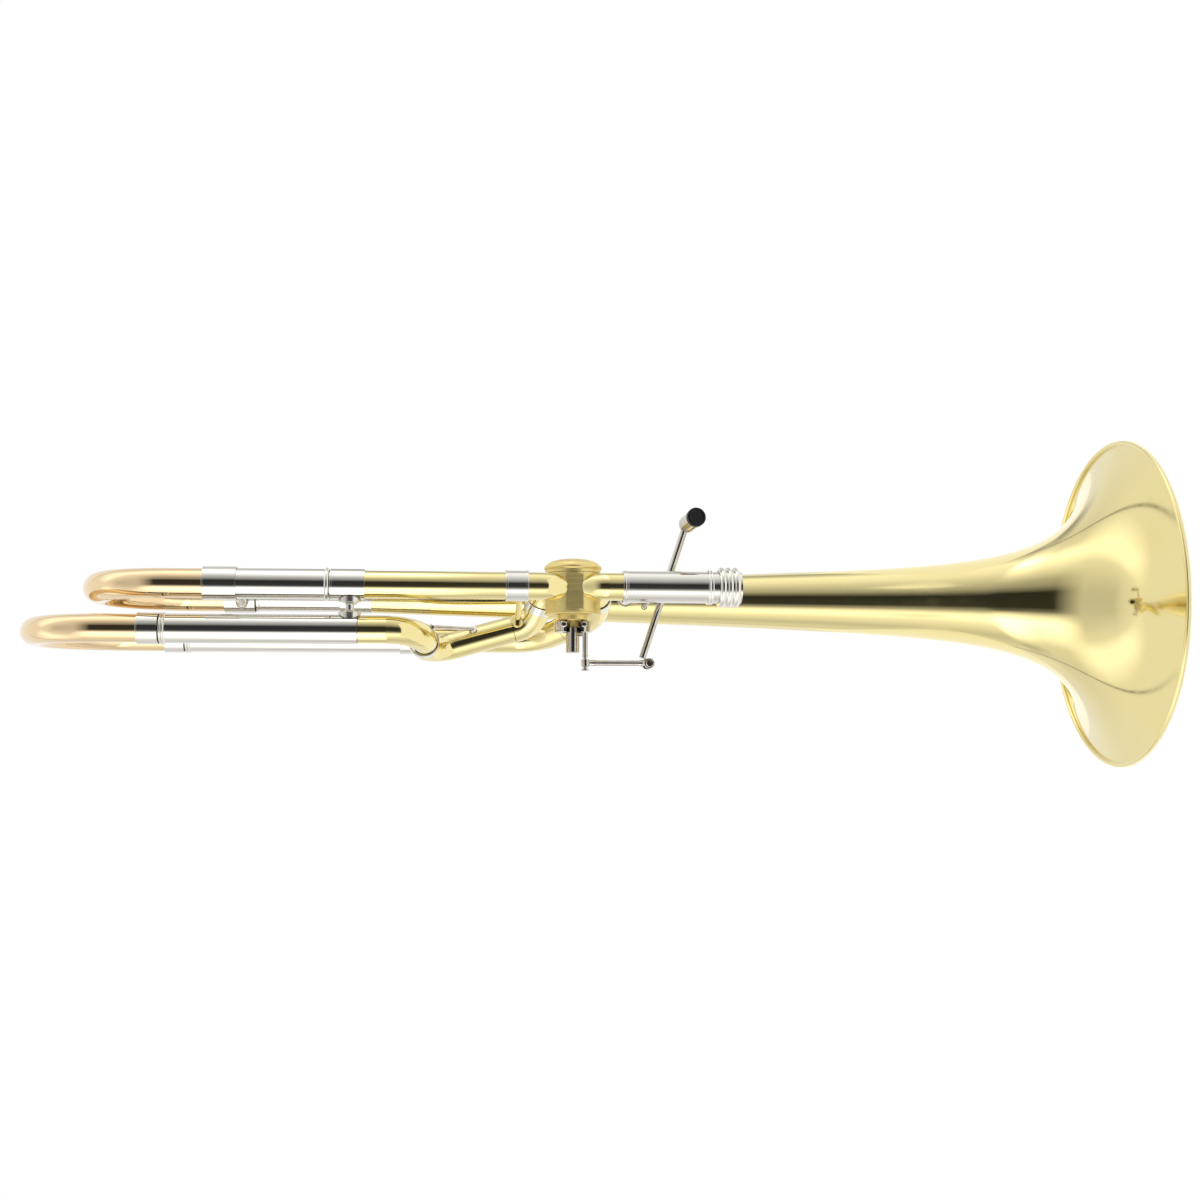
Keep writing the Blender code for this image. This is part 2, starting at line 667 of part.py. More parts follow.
def valve_casing():
    """Casing with its floor, boss, threaded neck and four ports."""
    outer = CASING_DIAMETER / 2
    bore = CASING_BORE / 2
    floor = CASING_BOTTOM + CASING_FLOOR
    hole = SPINDLE_DIAMETER / 2 + SEAT_GAP
    boss = BOSS_DIAMETER / 2
    foot = CASING_BOTTOM - BOSS_HEIGHT
    neck = CASING_NECK_DIAMETER / 2
    lip = outer + CASING_LIP
    profile = [(hole, foot), (boss, foot), (boss, CASING_BOTTOM), (lip, CASING_BOTTOM),
               (lip, CASING_BOTTOM + 2 * CASING_LIP), (outer, CASING_BOTTOM + 2 * CASING_LIP),
               (outer, CASING_TOP), (neck, CASING_TOP), (neck, CASING_TOP + CASING_NECK_HEIGHT),
               (bore, CASING_TOP + CASING_NECK_HEIGHT), (bore, floor), (hole, floor)]
    casing = turned("valve_casing", profile, yellow_brass(), VALVE_CENTRE, (1, 0, 0),
                    sides=2 * TUBE_SIDES)
    reach = outer + BORE_REACH
    for i, sign in enumerate((1, -1)):
        way = port_direction(sign, 1) * reach
        cut(casing, plug(f"port_cut_{i}", VALVE_CENTRE - way, VALVE_CENTRE + way, PORT_BORE / 2))
    return casing


def rotor_span():
    """Lowest and highest X of the rotor's drum, from the ports and the casing floor."""
    return CASING_BOTTOM + CASING_FLOOR + SEAT_GAP, PORT_BORE / 2 + ROTOR_CHEEK


def bearing_plate():
    """Plate that holds the rotor's upper spindle inside the casing."""
    bottom = rotor_span()[1] + SEAT_GAP
    inner = ROTOR_TOP_SPINDLE / 2 + SEAT_GAP
    outer = CASING_BORE / 2 - SEAT_GAP
    profile = [(inner, bottom), (outer, bottom), (outer, bottom + BEARING_THICKNESS),
               (inner, bottom + BEARING_THICKNESS)]
    return turned("valve_bearing_plate", profile, nickel_silver(), VALVE_CENTRE, (1, 0, 0))


def valve_cap():
    """Screw cap over the casing's neck."""
    outer = CAP_DIAMETER / 2
    inner = CASING_NECK_DIAMETER / 2 + SEAT_GAP
    foot = CASING_TOP + SEAT_GAP
    top = foot + CAP_HEIGHT
    edge = CAP_WALL / 2
    profile = [(0, top - CAP_WALL), (inner, top - CAP_WALL), (inner, foot), (outer, foot),
               (outer, top - CAP_WALL), (outer - edge, top - edge), (outer * 0.7, top),
               (0, top + CAP_DOME)]
    return turned("valve_cap", profile, yellow_brass(), VALVE_CENTRE, (1, 0, 0),
                  sides=2 * TUBE_SIDES)


def stop_housing():
    """Ring below the boss that holds the two bumpers, open at its front."""
    inner = HOUSING_BORE / 2
    outer = HOUSING_DIAMETER / 2
    profile = sleeve_profile(inner, outer, HOUSING_HEIGHT)
    foot = VALVE_CENTRE + Vector((HOUSING_BOTTOM, 0, 0))
    housing = turned("stop_housing", profile, nickel_silver(), foot, (1, 0, 0),
                     sides=TUBE_SIDES + 8)
    low, high = HOUSING_BOTTOM - BORE_REACH, HOUSING_TOP + BORE_REACH
    front = VALVE_Y - HOUSING_FRONT
    half = HOUSING_WINDOW / 2
    cut(housing, box("housing_front_cut", (low, front - BORE_REACH, VALVE_HEIGHT - outer),
                     (high, front, VALVE_HEIGHT + outer)))
    cut(housing, box("housing_window_cut", (low, front - BORE_REACH, VALVE_HEIGHT - half),
                     (high, VALVE_Y, VALVE_HEIGHT + half)))
    for i, sign in enumerate((1, -1)):
        start, end = bumper_line(sign)
        room = BUMPER_DIAMETER / 2 + SEAT_GAP
        outside = start - Vector((0, BORE_REACH, 0))
        inside = end + Vector((0, SEAT_GAP, 0))
        cut(housing, plug(f"bumper_room_{i}", outside, inside, room))
    return housing


def bumper_line(sign):
    """Front and tip of a bumper; both face +Y into the housing."""
    x = HOUSING_TOP - BUMPER_DROP
    z = VALVE_HEIGHT + sign * BUMPER_SPREAD
    return Vector((x, VALVE_Y - HOUSING_FRONT, z)), Vector((x, VALVE_Y - BUMPER_TIP, z))


def stop_bumpers():
    """Rubber bumpers and the slotted screws that hold them."""
    for i, sign in enumerate((1, -1), start=1):
        front, tip = bumper_line(sign)
        tube(f"stop_bumper_{i}", [front, tip], BUMPER_DIAMETER / 2, 0, rubber(), SMALL_SIDES)
        face = front - Vector((0, SEAT_GAP, 0))
        head = face - Vector((0, STOP_SCREW_HEAD_LENGTH, 0))
        screw = tube(f"stop_screw_{i}", [face, head], STOP_SCREW_HEAD / 2, 0,
                     nickel_silver(), SMALL_SIDES)
        half = STOP_SCREW_HEAD / 2 + SEAT_GAP
        deep = STOP_SCREW_HEAD_LENGTH / 2
        cut(screw, box(f"screw_slot_{i}", (head.x - SCREW_SLOT / 2, head.y - SEAT_GAP, head.z - half),
                       (head.x + SCREW_SLOT / 2, head.y + deep, head.z + half)))


def rotor():
    """Rotor drum with two bent passages, its spindles and the stop lug."""
    bottom, top = rotor_span()
    drum = CASING_BORE / 2 - SEAT_GAP
    spindle = SPINDLE_DIAMETER / 2
    stub = STUB_DIAMETER / 2
    lug_top = HOUSING_TOP - SEAT_GAP
    lug_low = lug_top - LUG_HEIGHT
    stub_end = lug_low - STUB_LENGTH
    top_end = top + SEAT_GAP + BEARING_THICKNESS + SEAT_GAP
    upper = ROTOR_TOP_SPINDLE / 2
    profile = [(0, stub_end), (stub, stub_end), (stub, lug_low), (spindle, lug_low),
               (spindle, bottom), (drum, bottom), (drum, top), (upper, top),
               (upper, top_end), (0, top_end)]
    obj = turned("valve_rotor", profile, yellow_brass(), VALVE_CENTRE, (1, 0, 0),
                 sides=2 * TUBE_SIDES)
    reach = drum + BORE_REACH
    for i, depth in enumerate((1, -1)):
        ends = [VALVE_CENTRE + port_direction(sign, depth) * reach for sign in (1, -1)]
        route = rounded_route([ends[0], VALVE_CENTRE, ends[1]], [drum])
        cut(obj, tube(f"rotor_passage_{i}", route, ROTOR_PASSAGE / 2, 0, None, SMALL_SIDES))
    turn = Matrix.Rotation(pi / 4, 4, "X")
    half = LUG_WIDTH / 2
    lug = box("rotor_lug", (lug_low, VALVE_Y - LUG_RADIUS, VALVE_HEIGHT - half),
              (lug_top, VALVE_Y, VALVE_HEIGHT + half), None, turn, VALVE_CENTRE)
    return join(obj, lug)


def stop_arm():
    """Nickel hub on the rotor's stub, with the crank and its stepped pin."""
    hub = ARM_HUB_DIAMETER / 2
    bore = STUB_DIAMETER / 2 + SEAT_GAP
    eye = ARM_HUB_EYE / 2
    top = HOUSING_TOP - SEAT_GAP - LUG_HEIGHT - SEAT_GAP
    foot = top - ARM_HUB_LENGTH
    floor = top - STUB_LENGTH - SEAT_GAP
    profile = [(eye, foot), (hub, foot), (hub, top), (bore, top), (bore, floor), (eye, floor)]
    arm = turned("stop_arm", profile, nickel_silver(), VALVE_CENTRE, (1, 0, 0))
    half = CRANK_WIDTH / 2
    turn = Matrix.Rotation(pi / 4, 4, "X")
    join(arm, box("crank_web", (CRANK_TOP - CRANK_THICKNESS, VALVE_Y - CRANK_RADIUS,
                                VALVE_HEIGHT - half),
                  (CRANK_TOP, VALVE_Y - hub + SEAT_GAP, VALVE_HEIGHT + half), None, turn,
                  VALVE_CENTRE))
    post, pin, nut = POST_DIAMETER / 2, PIN_DIAMETER / 2, NUT_DIAMETER / 2
    room = LINK_EYE_HEIGHT / 2 + NUT_CLEARANCE
    shoulder = -LINK_PLANE_DROP + room
    nut_top = -LINK_PLANE_DROP - room
    step = [(0, nut_top - NUT_HEIGHT), (nut, nut_top - NUT_HEIGHT), (nut, nut_top),
            (pin, nut_top), (pin, shoulder), (post, shoulder), (post, CRANK_TOP),
            (0, CRANK_TOP)]
    foot_point = Vector((0, VALVE_Y - CRANK_OFFSET, VALVE_HEIGHT - CRANK_OFFSET))
    return join(arm, turned("crank_post", step, None, foot_point, (1, 0, 0), SMALL_SIDES))


def oblong(name, centre, width, length, height):
    """Block with round ends, long in Y, wide in Z and high in X."""
    bm = bmesh.new()
    steps = SMALL_SIDES // 2
    outline = []
    for side in (1, -1):
        for i in range(steps + 1):
            angle = pi * i / steps
            y = side * ((length - width) / 2 + sin(angle) * width / 2)
            outline.append((y, side * cos(angle) * width / 2))
    top = [bm.verts.new((height / 2, y, z)) for y, z in outline]
    low = [bm.verts.new((-height / 2, y, z)) for y, z in outline]
    skin(bm, [low, top])
    bm.faces.new(low)
    bm.faces.new(top)
    bmesh.ops.translate(bm, vec=centre, verts=bm.verts)
    return new_object(name, bm, None, centre.copy())


def link_rod():
    """Rod with a round eye for the lever's stud and a slotted eye for the crank pin."""
    eye = CRANK_PIN
    along = Vector((0, 0, 1))
    rod = tube("link_rod", [LEVER_BALL + along * LEVER_EYE_DIAMETER / 4,
                            eye - along * LINK_EYE_WIDTH / 4], LINK_DIAMETER / 2, 0,
               nickel_silver(), SMALL_SIDES)
    half = Vector((0, LEVER_EYE_THICKNESS / 2, 0))
    join(rod, plug("lever_eye", LEVER_BALL - half, LEVER_BALL + half, LEVER_EYE_DIAMETER / 2,
                   TUBE_SIDES))
    slot_width = LINK_EYE_WIDTH - 2 * LINK_EYE_WALL
    slot_length = PIN_DIAMETER + PIN_SWING + 2 * (SEAT_GAP + LINK_SLOT_ROOM)
    slot_length = max(slot_length, slot_width + END_CHAMFER)
    join(rod, oblong("pin_eye", eye, LINK_EYE_WIDTH, slot_length + 2 * LINK_EYE_WALL,
                     LINK_EYE_HEIGHT))
    cut(rod, plug("lever_eye_bore", LEVER_BALL - 2 * half, LEVER_BALL + 2 * half,
                  STUD_DIAMETER / 2 + SEAT_GAP))
    cut(rod, oblong("pin_eye_slot", eye, slot_width, slot_length, 2 * LINK_EYE_HEIGHT))
    return rod


def lever_rod_line():
    """Lower end, upper end and direction of the lever's straight rod."""
    up = Vector((cos(LEVER_LEAN), 0, -sin(LEVER_LEAN)))
    aside = Vector((-sin(LEVER_LEAN), 0, -cos(LEVER_LEAN)))
    foot = LEVER_PIVOT + aside * LEVER_ROD_OFFSET
    thumb = (THUMB_FAR - foot).dot(up)
    return foot - up * LEVER_ROD_DOWN, foot + up * thumb, up


def thumb_lever():
    """Lever rod with its pivot hub, foot disc and the stud for the link."""
    low, high, up = lever_rod_line()
    lever = tube("thumb_lever", [low, high], LEVER_ROD_DIAMETER / 2, 0, nickel_silver(),
                 SMALL_SIDES)
    half = Vector((0, LEVER_HUB_WIDTH / 2, 0))
    join(lever, plug("lever_hub", LEVER_PIVOT - half, LEVER_PIVOT + half, LEVER_HUB_DIAMETER / 2,
                     TUBE_SIDES))
    foot = Vector((LEVER_BALL.x, LEVER_Y, LEVER_BALL.z))
    thick = Vector((0, LEVER_ROD_DIAMETER / 2, 0))
    join(lever, plug("lever_foot", foot - thick, foot + thick, LEVER_FOOT_DIAMETER / 2))
    eye = LEVER_EYE_THICKNESS / 2 + SEAT_GAP
    stud, head = STUD_DIAMETER / 2, STUD_HEAD_DIAMETER / 2
    reach = LEVER_Y - LEVER_BALL.y
    profile = [(0, 0), (stud, 0), (stud, reach + eye), (head, reach + eye),
               (head, reach + eye + STUD_HEAD_THICKNESS), (0, reach + eye + STUD_HEAD_THICKNESS)]
    join(lever, turned("lever_stud", profile, None, foot, (0, -1, 0), SMALL_SIDES))
    bore = SADDLE_POST_DIAMETER / 2 + SEAT_GAP
    cut(lever, plug("lever_bore", LEVER_PIVOT - 2 * half, LEVER_PIVOT + 2 * half, bore))
    way = (THUMB_FAR - THUMB_NEAR).normalized() * BORE_REACH
    cut(lever, plug("thumb_room", THUMB_NEAR - way, THUMB_FAR + way,
                    THUMB_DIAMETER / 2 + SEAT_GAP, 2 * TUBE_SIDES))
    return lever


def thumb_piece():
    """Barrel that the thumb pushes, and the black cap on its near end."""
    way = (THUMB_FAR - THUMB_NEAR).normalized()
    length = (THUMB_FAR - THUMB_NEAR).length
    radius = THUMB_DIAMETER / 2
    start = THUMB_NEAR + way * (THUMB_CAP_LENGTH + SEAT_GAP)
    body = length - THUMB_CAP_LENGTH - SEAT_GAP
    edge = 2 * END_CHAMFER
    profile = [(0, 0), (radius, 0), (radius, body - edge), (radius - edge, body), (0, body)]
    turned("thumb_barrel", profile, nickel_silver(), start, way)
    wide = THUMB_CAP_DIAMETER / 2
    cap = [(0, 0), (wide - 2 * edge, 0), (wide, 2 * edge), (wide, THUMB_CAP_LENGTH),
           (0, THUMB_CAP_LENGTH)]
    turned("thumb_cap", cap, black_plastic(), THUMB_NEAR, way)


def lever_saddle():
    """Saddle on the receiver with the post that the lever turns on."""
    wall = RECEIVER_DIAMETER / 2 + SEAT_GAP
    face = NECK_Y + wall + SADDLE_THICKNESS
    low = (LEVER_PIVOT.x - SADDLE_WIDTH / 2, NECK_Y, LEVER_PIVOT.z - SADDLE_LENGTH / 2)
    high = (LEVER_PIVOT.x + SADDLE_WIDTH / 2, face, LEVER_PIVOT.z + SADDLE_LENGTH / 2)
    saddle = box("lever_saddle", low, high, nickel_silver())
    end = LEVER_Y + LEVER_HUB_WIDTH / 2 + SEAT_GAP
    join(saddle, plug("saddle_post", Vector((LEVER_PIVOT.x, NECK_Y + wall, LEVER_PIVOT.z)),
                      Vector((LEVER_PIVOT.x, end, LEVER_PIVOT.z)), SADDLE_POST_DIAMETER / 2))
    room = Vector((0, 0, SADDLE_LENGTH))
    middle = neck_point(LEVER_PIVOT.z)
    cut(saddle, plug("saddle_room", middle - room, middle + room, wall, TUBE_SIDES))
    foot, tip = anchor_line()
    pad = Vector((LEVER_PIVOT.x - SADDLE_WIDTH / 2 + SADDLE_THICKNESS, foot.y,
                  LEVER_PIVOT.z + SADDLE_LENGTH / 2 - SADDLE_THICKNESS))
    radius = ANCHOR_DIAMETER / 2
    arm = tube("anchor_arm", [pad, foot + (foot - pad).normalized() * radius], radius, 0, None, 8)
    join(saddle, arm)
    join(saddle, plug("anchor_pin", foot, tip, radius))
    hole = PIVOT_SCREW_SHANK / 2 + SEAT_GAP
    cut(saddle, plug("saddle_screw_hole",
                     Vector((LEVER_PIVOT.x, end - PIVOT_SCREW_DEPTH - SEAT_GAP, LEVER_PIVOT.z)),
                     Vector((LEVER_PIVOT.x, end + SEAT_GAP, LEVER_PIVOT.z)), hole))
    return saddle


def pivot_screw():
    """Slotted screw that keeps the lever on its post."""
    shank, head = PIVOT_SCREW_SHANK / 2, PIVOT_SCREW_HEAD / 2
    seat = LEVER_Y + LEVER_HUB_WIDTH / 2 + 2 * SEAT_GAP
    top = PIVOT_SCREW_HEAD_HEIGHT
    profile = [(0, -PIVOT_SCREW_DEPTH), (shank, -PIVOT_SCREW_DEPTH), (shank, 0), (head, 0),
               (head, top - END_CHAMFER), (head - END_CHAMFER, top), (0, top)]
    point = Vector((LEVER_PIVOT.x, seat, LEVER_PIVOT.z))
    screw = turned("lever_pivot_screw", profile, nickel_silver(), point, (0, 1, 0), SMALL_SIDES)
    half = SCREW_SLOT / 2
    return cut(screw, box("pivot_screw_slot", (point.x - half, seat + top / 2, point.z - head),
                          (point.x + half, seat + top + SEAT_GAP, point.z + head)))


def anchor_line():
    """Foot and tip of the saddle's pin that holds the spring's fixed leg."""
    face = NECK_Y + RECEIVER_DIAMETER / 2 + SEAT_GAP
    x, z = ANCHOR_POINT
    return Vector((x, face, z)), Vector((x, face + 2 * SADDLE_THICKNESS, z))


def spring_path():
    """Centre line of the return spring: the fixed leg, the turns and the moving leg."""
    radius = (SPRING_COIL_DIAMETER - SPRING_WIRE) / 2
    first = NECK_Y + RECEIVER_DIAMETER / 2 + SADDLE_THICKNESS + 2 * SEAT_GAP + SPRING_WIRE / 2
    last = LEVER_Y - LEVER_HUB_WIDTH / 2 - SEAT_GAP - SPRING_WIRE / 2
    per_turn = 10
    count = round(SPRING_TURNS * per_turn)
    _, _, up = lever_rod_line()
    aside = Vector((up.z, 0, -up.x))
    points = []
    for i in range(count + 1):
        angle = -2 * pi * SPRING_TURNS * i / count
        spoke = -aside * cos(angle) - up * sin(angle)
        point = LEVER_PIVOT + spoke * radius
        points.append(Vector((point.x, first + (last - first) * i / count, point.z)))
    rod = LEVER_ROD_DIAMETER / 2 + SEAT_GAP + SPRING_WIRE / 2
    over = LEVER_PIVOT + aside * (LEVER_ROD_OFFSET - rod) + up * SPRING_LEG
    over.y = last
    pin = Vector((ANCHOR_POINT[0], first, ANCHOR_POINT[1]))
    leg = (pin - points[0]).normalized()
    hook = Vector((-leg.z, 0, leg.x)) * -(ANCHOR_DIAMETER / 2 + SEAT_GAP + SPRING_WIRE / 2)
    turns = [Matrix.Rotation(-SPRING_HOOK_ARC * i / 7, 3, "Y") for i in range(8)]
    curl = [pin + turn @ hook for turn in reversed(turns)]
    return curl + points + [over, over + Vector((0, LEVER_ROD_DIAMETER, 0))]


def report_spring_gap(path):
    """Print the least space between the spring's turns, wire to wire."""
    least = min((a - b).length for i, a in enumerate(path) for b in path[i + 6:])
    print("spring, least gap to itself in mm:", round((least - SPRING_WIRE) * 1000, 3))


def return_spring():
    """Coil that turns the lever back to rest, round the saddle's post."""
    path = spring_path()
    report_spring_gap(path)
    return tube("lever_spring", path, SPRING_WIRE / 2, 0, spring_steel(), 6)


def f_upper_corners():
    """Corners of the upper F branch, from the valve to the near F tube."""
    way = port_direction(1, 1)
    return [VALVE_CENTRE + way * (CASING_DIAMETER / 2 - BORE_REACH),
            VALVE_CENTRE + way * UPPER_PORT_RUN,
            wrap_point(UPPER_TURN),
            wrap_point(UPPER_CROSS),
            neck_point(UPPER_CROSS[0], F_PLANE_DROP),
            neck_point(F_SLIDE_BASE, F_PLANE_DROP)]


def f_lower_corners():
    """Corners of the lower F branch, from the valve to the far F tube."""
    way = port_direction(-1, 1)
    return [VALVE_CENTRE + way * (CASING_DIAMETER / 2 - BORE_REACH),
            VALVE_CENTRE + way * LOWER_PORT_RUN,
            wrap_point(LOWER_TURN),
            bell_point(LOWER_RETURN_HEIGHT, F_PLANE_DROP),
            bell_point(F_FAR_BASE, F_PLANE_DROP)]


def straight_between(corners, radii, i):
    """Ends of the straight run from corner i to corner i + 1."""
    def reach(k):
        if k < 1 or k > len(corners) - 2:
            return 0
        before = corners[k] - corners[k - 1]
        after = corners[k + 1] - corners[k]
        return radii[k - 1] * tan(before.angle(after) / 2)
    way = (corners[i + 1] - corners[i]).normalized()
    return corners[i] + way * reach(i), corners[i + 1] - way * reach(i + 1), way


def seam(corners, radii, i):
    """Middle and direction of the straight run after corner i, where two tubes meet."""
    start, end, way = straight_between(corners, radii, i)
    return (start + end) / 2, way


def f_bend(name, start, corner, end, radius, mat):
    """One bent tube of the F wrap between two seams."""
    into = (corner - start).normalized() * SEAT_GAP / 2
    out = (end - corner).normalized() * SEAT_GAP / 2
    outer = F_TUBE_DIAMETER / 2
    path = rounded_route([start + into, corner, end - out], [radius])
    return tube(name, path, outer, outer - TUBE_WALL, mat)


def f_upper_branch():
    """Upper knuckle, port elbow, crossing tube and near elbow of the F wrap."""
    corners = f_upper_corners()
    port, port_way = seam(corners, UPPER_RADII, 1)
    mid, mid_way = seam(corners, UPPER_RADII, 2)
    start, _, way = straight_between(corners, UPPER_RADII, 2)
    mid = start + way * (CROSS_FERRULE_LENGTH / 2 + SEAT_GAP)
    cross, cross_way = seam(corners, UPPER_RADII, 3)
    route = rounded_route([corners[0], corners[1], port - port_way * SEAT_GAP / 2],
                          [UPPER_RADII[0]])
    knuckle("knuckle_f_upper", route)
    f_bend("f_port_elbow", port, corners[2], mid, UPPER_RADII[1], yellow_brass())
    f_bend("f_cross_tube", mid, corners[3], cross, UPPER_RADII[2], yellow_brass())
    f_bend("f_near_elbow", cross, corners[4], corners[5], UPPER_RADII[3], yellow_brass())
    sleeve("f_port_ferrule_upper", port, port_way, F_TUBE_DIAMETER, PORT_FERRULE_LENGTH,
           nickel_silver())
    sleeve("f_cross_ferrule", cross, cross_way, F_TUBE_DIAMETER, CROSS_FERRULE_LENGTH,
           nickel_silver())


def f_lower_branch():
    """Lower knuckle, crook and return tube of the F wrap."""
    corners = f_lower_corners()
    port, port_way = seam(corners, LOWER_RADII, 1)
    join_point, join_way = seam(corners, LOWER_RADII, 2)
    route = rounded_route([corners[0], corners[1], port - port_way * SEAT_GAP / 2],
                          [LOWER_RADII[0]])
    knuckle("knuckle_f_lower", route)
    f_bend("f_crook", port, corners[2], join_point, LOWER_RADII[1], yellow_brass())
    f_bend("f_return_tube", join_point, corners[3], corners[4], LOWER_RADII[2], yellow_brass())
    sleeve("f_port_ferrule_lower", port, port_way, F_TUBE_DIAMETER, PORT_FERRULE_LENGTH,
           nickel_silver())
    sleeve("f_return_ferrule", corners[4], (0, 0, 1), F_OUTER_DIAMETER, RETURN_FERRULE_LENGTH,
           nickel_silver())


def f_outer_tubes():
    """Fixed outer tubes of the F slide."""
    near = neck_point(F_SLIDE_BASE + SEAT_GAP / 2, F_PLANE_DROP)
    outer_tube("f_outer_tube_near", near, F_SLIDE_TOP - near.z, F_OUTER_DIAMETER, True,
               F_RING_LENGTH, MOUTH_RING_HEIGHT)
    far = bell_point(F_FAR_BASE + SEAT_GAP / 2, F_PLANE_DROP)
    outer_tube("f_outer_tube_far", far, F_SLIDE_TOP - far.z, F_OUTER_DIAMETER, True,
               F_RING_LENGTH, MOUTH_RING_HEIGHT)


def bow_path(base_height, foot_height, drop):
    """Line of a bow: up the near leg, round, and down the far leg."""
    radius = LINE_SPACING / 2
    centre = Vector((-drop, NECK_Y + radius, base_height))
    path = [neck_point(foot_height, drop)]
    for i in range(BOW_STEPS + 1):
        angle = pi - pi * i / BOW_STEPS
        path.append(centre + Vector((0, cos(angle), sin(angle))) * radius)
    path.append(bell_point(foot_height, drop))
    return path


def bow(name, base_height, foot_height, drop, near_diameter, far_diameter, origin):
    """Bow whose bore widens evenly from the near leg to the far leg."""
    path = bow_path(base_height, foot_height, drop)
    last = len(path) - 1
    outer = [(near_diameter + (far_diameter - near_diameter) * i / last) / 2
             for i in range(len(path))]
    inner = [r - TUBE_WALL for r in outer]
    return tube(name, path, outer, inner, rose_brass(), origin=origin)


def parent_to(empty, *objects):
    """Carry objects on the empty without moving them."""
    for obj in objects:
        obj.parent = empty
        obj.location = obj.location - empty.location


def joint_empty(name, point):
    """Empty on a joint's axis, at which a moving body hangs."""
    empty = bpy.data.objects.new(name, None)
    empty.location = point
    empty.empty_display_size = 0.02
    bpy.context.scene.collection.objects.link(empty)
    return empty


def main_slide():
    """Main tuning slide: bow, ferrules, near outer tube and far inner tube."""
    foot = SLIDE_FERRULE_TOP + SEAT_GAP
    middle = MAIN_OUTER_TOP + BOW_FERRULE_LENGTH / 2
    near = outer_tube("main_outer_tube_near", neck_point(foot), middle - SEAT_GAP / 2 - foot,
                      MAIN_OUTER_DIAMETER, False, MOUTH_RING_LENGTH, MOUTH_RING_HEIGHT)
    low = bell_point(SLIDE_FERRULE_TOP + SLIDE_END_INSET)
    high = bell_point(middle - SEAT_GAP / 2)
    inner = MAIN_INNER_DIAMETER / 2
    far = tube("main_inner_tube_far", [low, high], inner, inner - TUBE_WALL, nickel_silver())
    arch = bow("main_bow", MAIN_BOW_BASE, middle + SEAT_GAP / 2, 0, MAIN_BOW_NEAR_DIAMETER,
               MAIN_BOW_FAR_DIAMETER, neck_point(middle))
    near_widest = max(MAIN_OUTER_DIAMETER, MAIN_BOW_NEAR_DIAMETER)
    far_widest = max(MAIN_INNER_DIAMETER, MAIN_BOW_FAR_DIAMETER)
    near_ring = sleeve("main_bow_ferrule_near", neck_point(middle), (0, 0, 1), near_widest,
                       BOW_FERRULE_LENGTH, nickel_silver())
    far_ring = sleeve("main_bow_ferrule_far", bell_point(middle), (0, 0, 1), far_widest,
                      BOW_FERRULE_LENGTH, nickel_silver())
    stay = cross_brace("main_slide_brace", MAIN_BRACE_HEIGHT, MAIN_BRACE_DROP, 0,
                       near_widest / 2 + SLEEVE_REACH, far_widest / 2 + SLEEVE_REACH,
                       SMALL_ROD_DIAMETER, SMALL_FLANGE_DIAMETER)
    parent_to(joint_empty("main_slide", neck_point(foot)), near, far, arch, near_ring,
              far_ring, stay)


def f_slide():
    """F tuning slide: bow, ferrules and two inner tubes."""
    inner = F_OUTER_DIAMETER - 2 * (TUBE_WALL + SEAT_GAP)
    middle = F_FERRULE_BASE + F_FERRULE_LENGTH / 2
    widest = max(F_TUBE_DIAMETER, inner)
    arch = bow("f_bow", F_BOW_BASE, middle + SEAT_GAP / 2, F_PLANE_DROP, F_TUBE_DIAMETER,
               F_TUBE_DIAMETER, neck_point(middle, F_PLANE_DROP))
    pieces = [arch]
    for side, place, base in (("near", neck_point, F_SLIDE_BASE), ("far", bell_point, F_SLIDE_BASE)):
        pieces.append(sleeve("f_bow_ferrule_" + side, place(middle, F_PLANE_DROP), (0, 0, 1),
                             widest, F_FERRULE_LENGTH, nickel_silver()))
        low = place(base + SLIDE_END_INSET, F_PLANE_DROP)
        high = place(middle - SEAT_GAP / 2, F_PLANE_DROP)
        pieces.append(tube("f_inner_tube_" + side, [low, high], inner / 2,
                           inner / 2 - TUBE_WALL, nickel_silver()))
    radius = widest / 2 + SLEEVE_REACH
    pieces.append(cross_brace("f_slide_brace", F_BRACE_HEIGHT, F_PLANE_DROP, F_PLANE_DROP,
                              radius, radius, SMALL_ROD_DIAMETER, SMALL_FLANGE_DIAMETER))
    parent_to(joint_empty("f_slide", neck_point(F_SLIDE_TOP, F_PLANE_DROP)), *pieces)


def brace_between(name, start, end, rod, flange, cutters):
    """Brace rod with a flange at each end, hollowed to fit the tubes it meets.

    start and end lie on the axes of the two tubes; each cutter is the room of one tube.
    """
    way = (end[0] - start[0]).normalized()
    face_a = start[0] + way * start[1]
    face_b = end[0] - way * end[1]
    obj = tube(name, [face_a, face_b], rod / 2, 0, nickel_silver(), SMALL_SIDES)
    for tag, face, sign in (("a", face_a, 1), ("b", face_b, -1)):
        inner = face - way * sign * flange / 2
        outer = face + way * sign * BRACE_FLANGE_THICKNESS * 1.5
        join(obj, plug(f"{name}_flange_{tag}", inner, outer, flange / 2))
    for tool in cutters:
        cut(obj, tool)
    return obj


def room_for_line(name, point, radius, half_length):
    """Room of a tube parallel to Z, for fitting a brace to it."""
    reach = Vector((0, 0, half_length))
    return plug(name, point - reach, point + reach, radius + SEAT_GAP, 2 * TUBE_SIDES)


def cross_brace(name, height, drop, line_drop, near_radius, far_radius, rod, flange):
    """Brace across from a tube on the neck side to a tube on the bell side."""
    near = Vector((-drop, NECK_Y, height))
    far = Vector((-drop, 0, height))
    tools = [room_for_line(name + "_near", neck_point(height, line_drop), near_radius, flange),
             room_for_line(name + "_far", bell_point(height, line_drop), far_radius, flange)]
    return brace_between(name, (near, near_radius), (far, far_radius), rod, flange, tools)


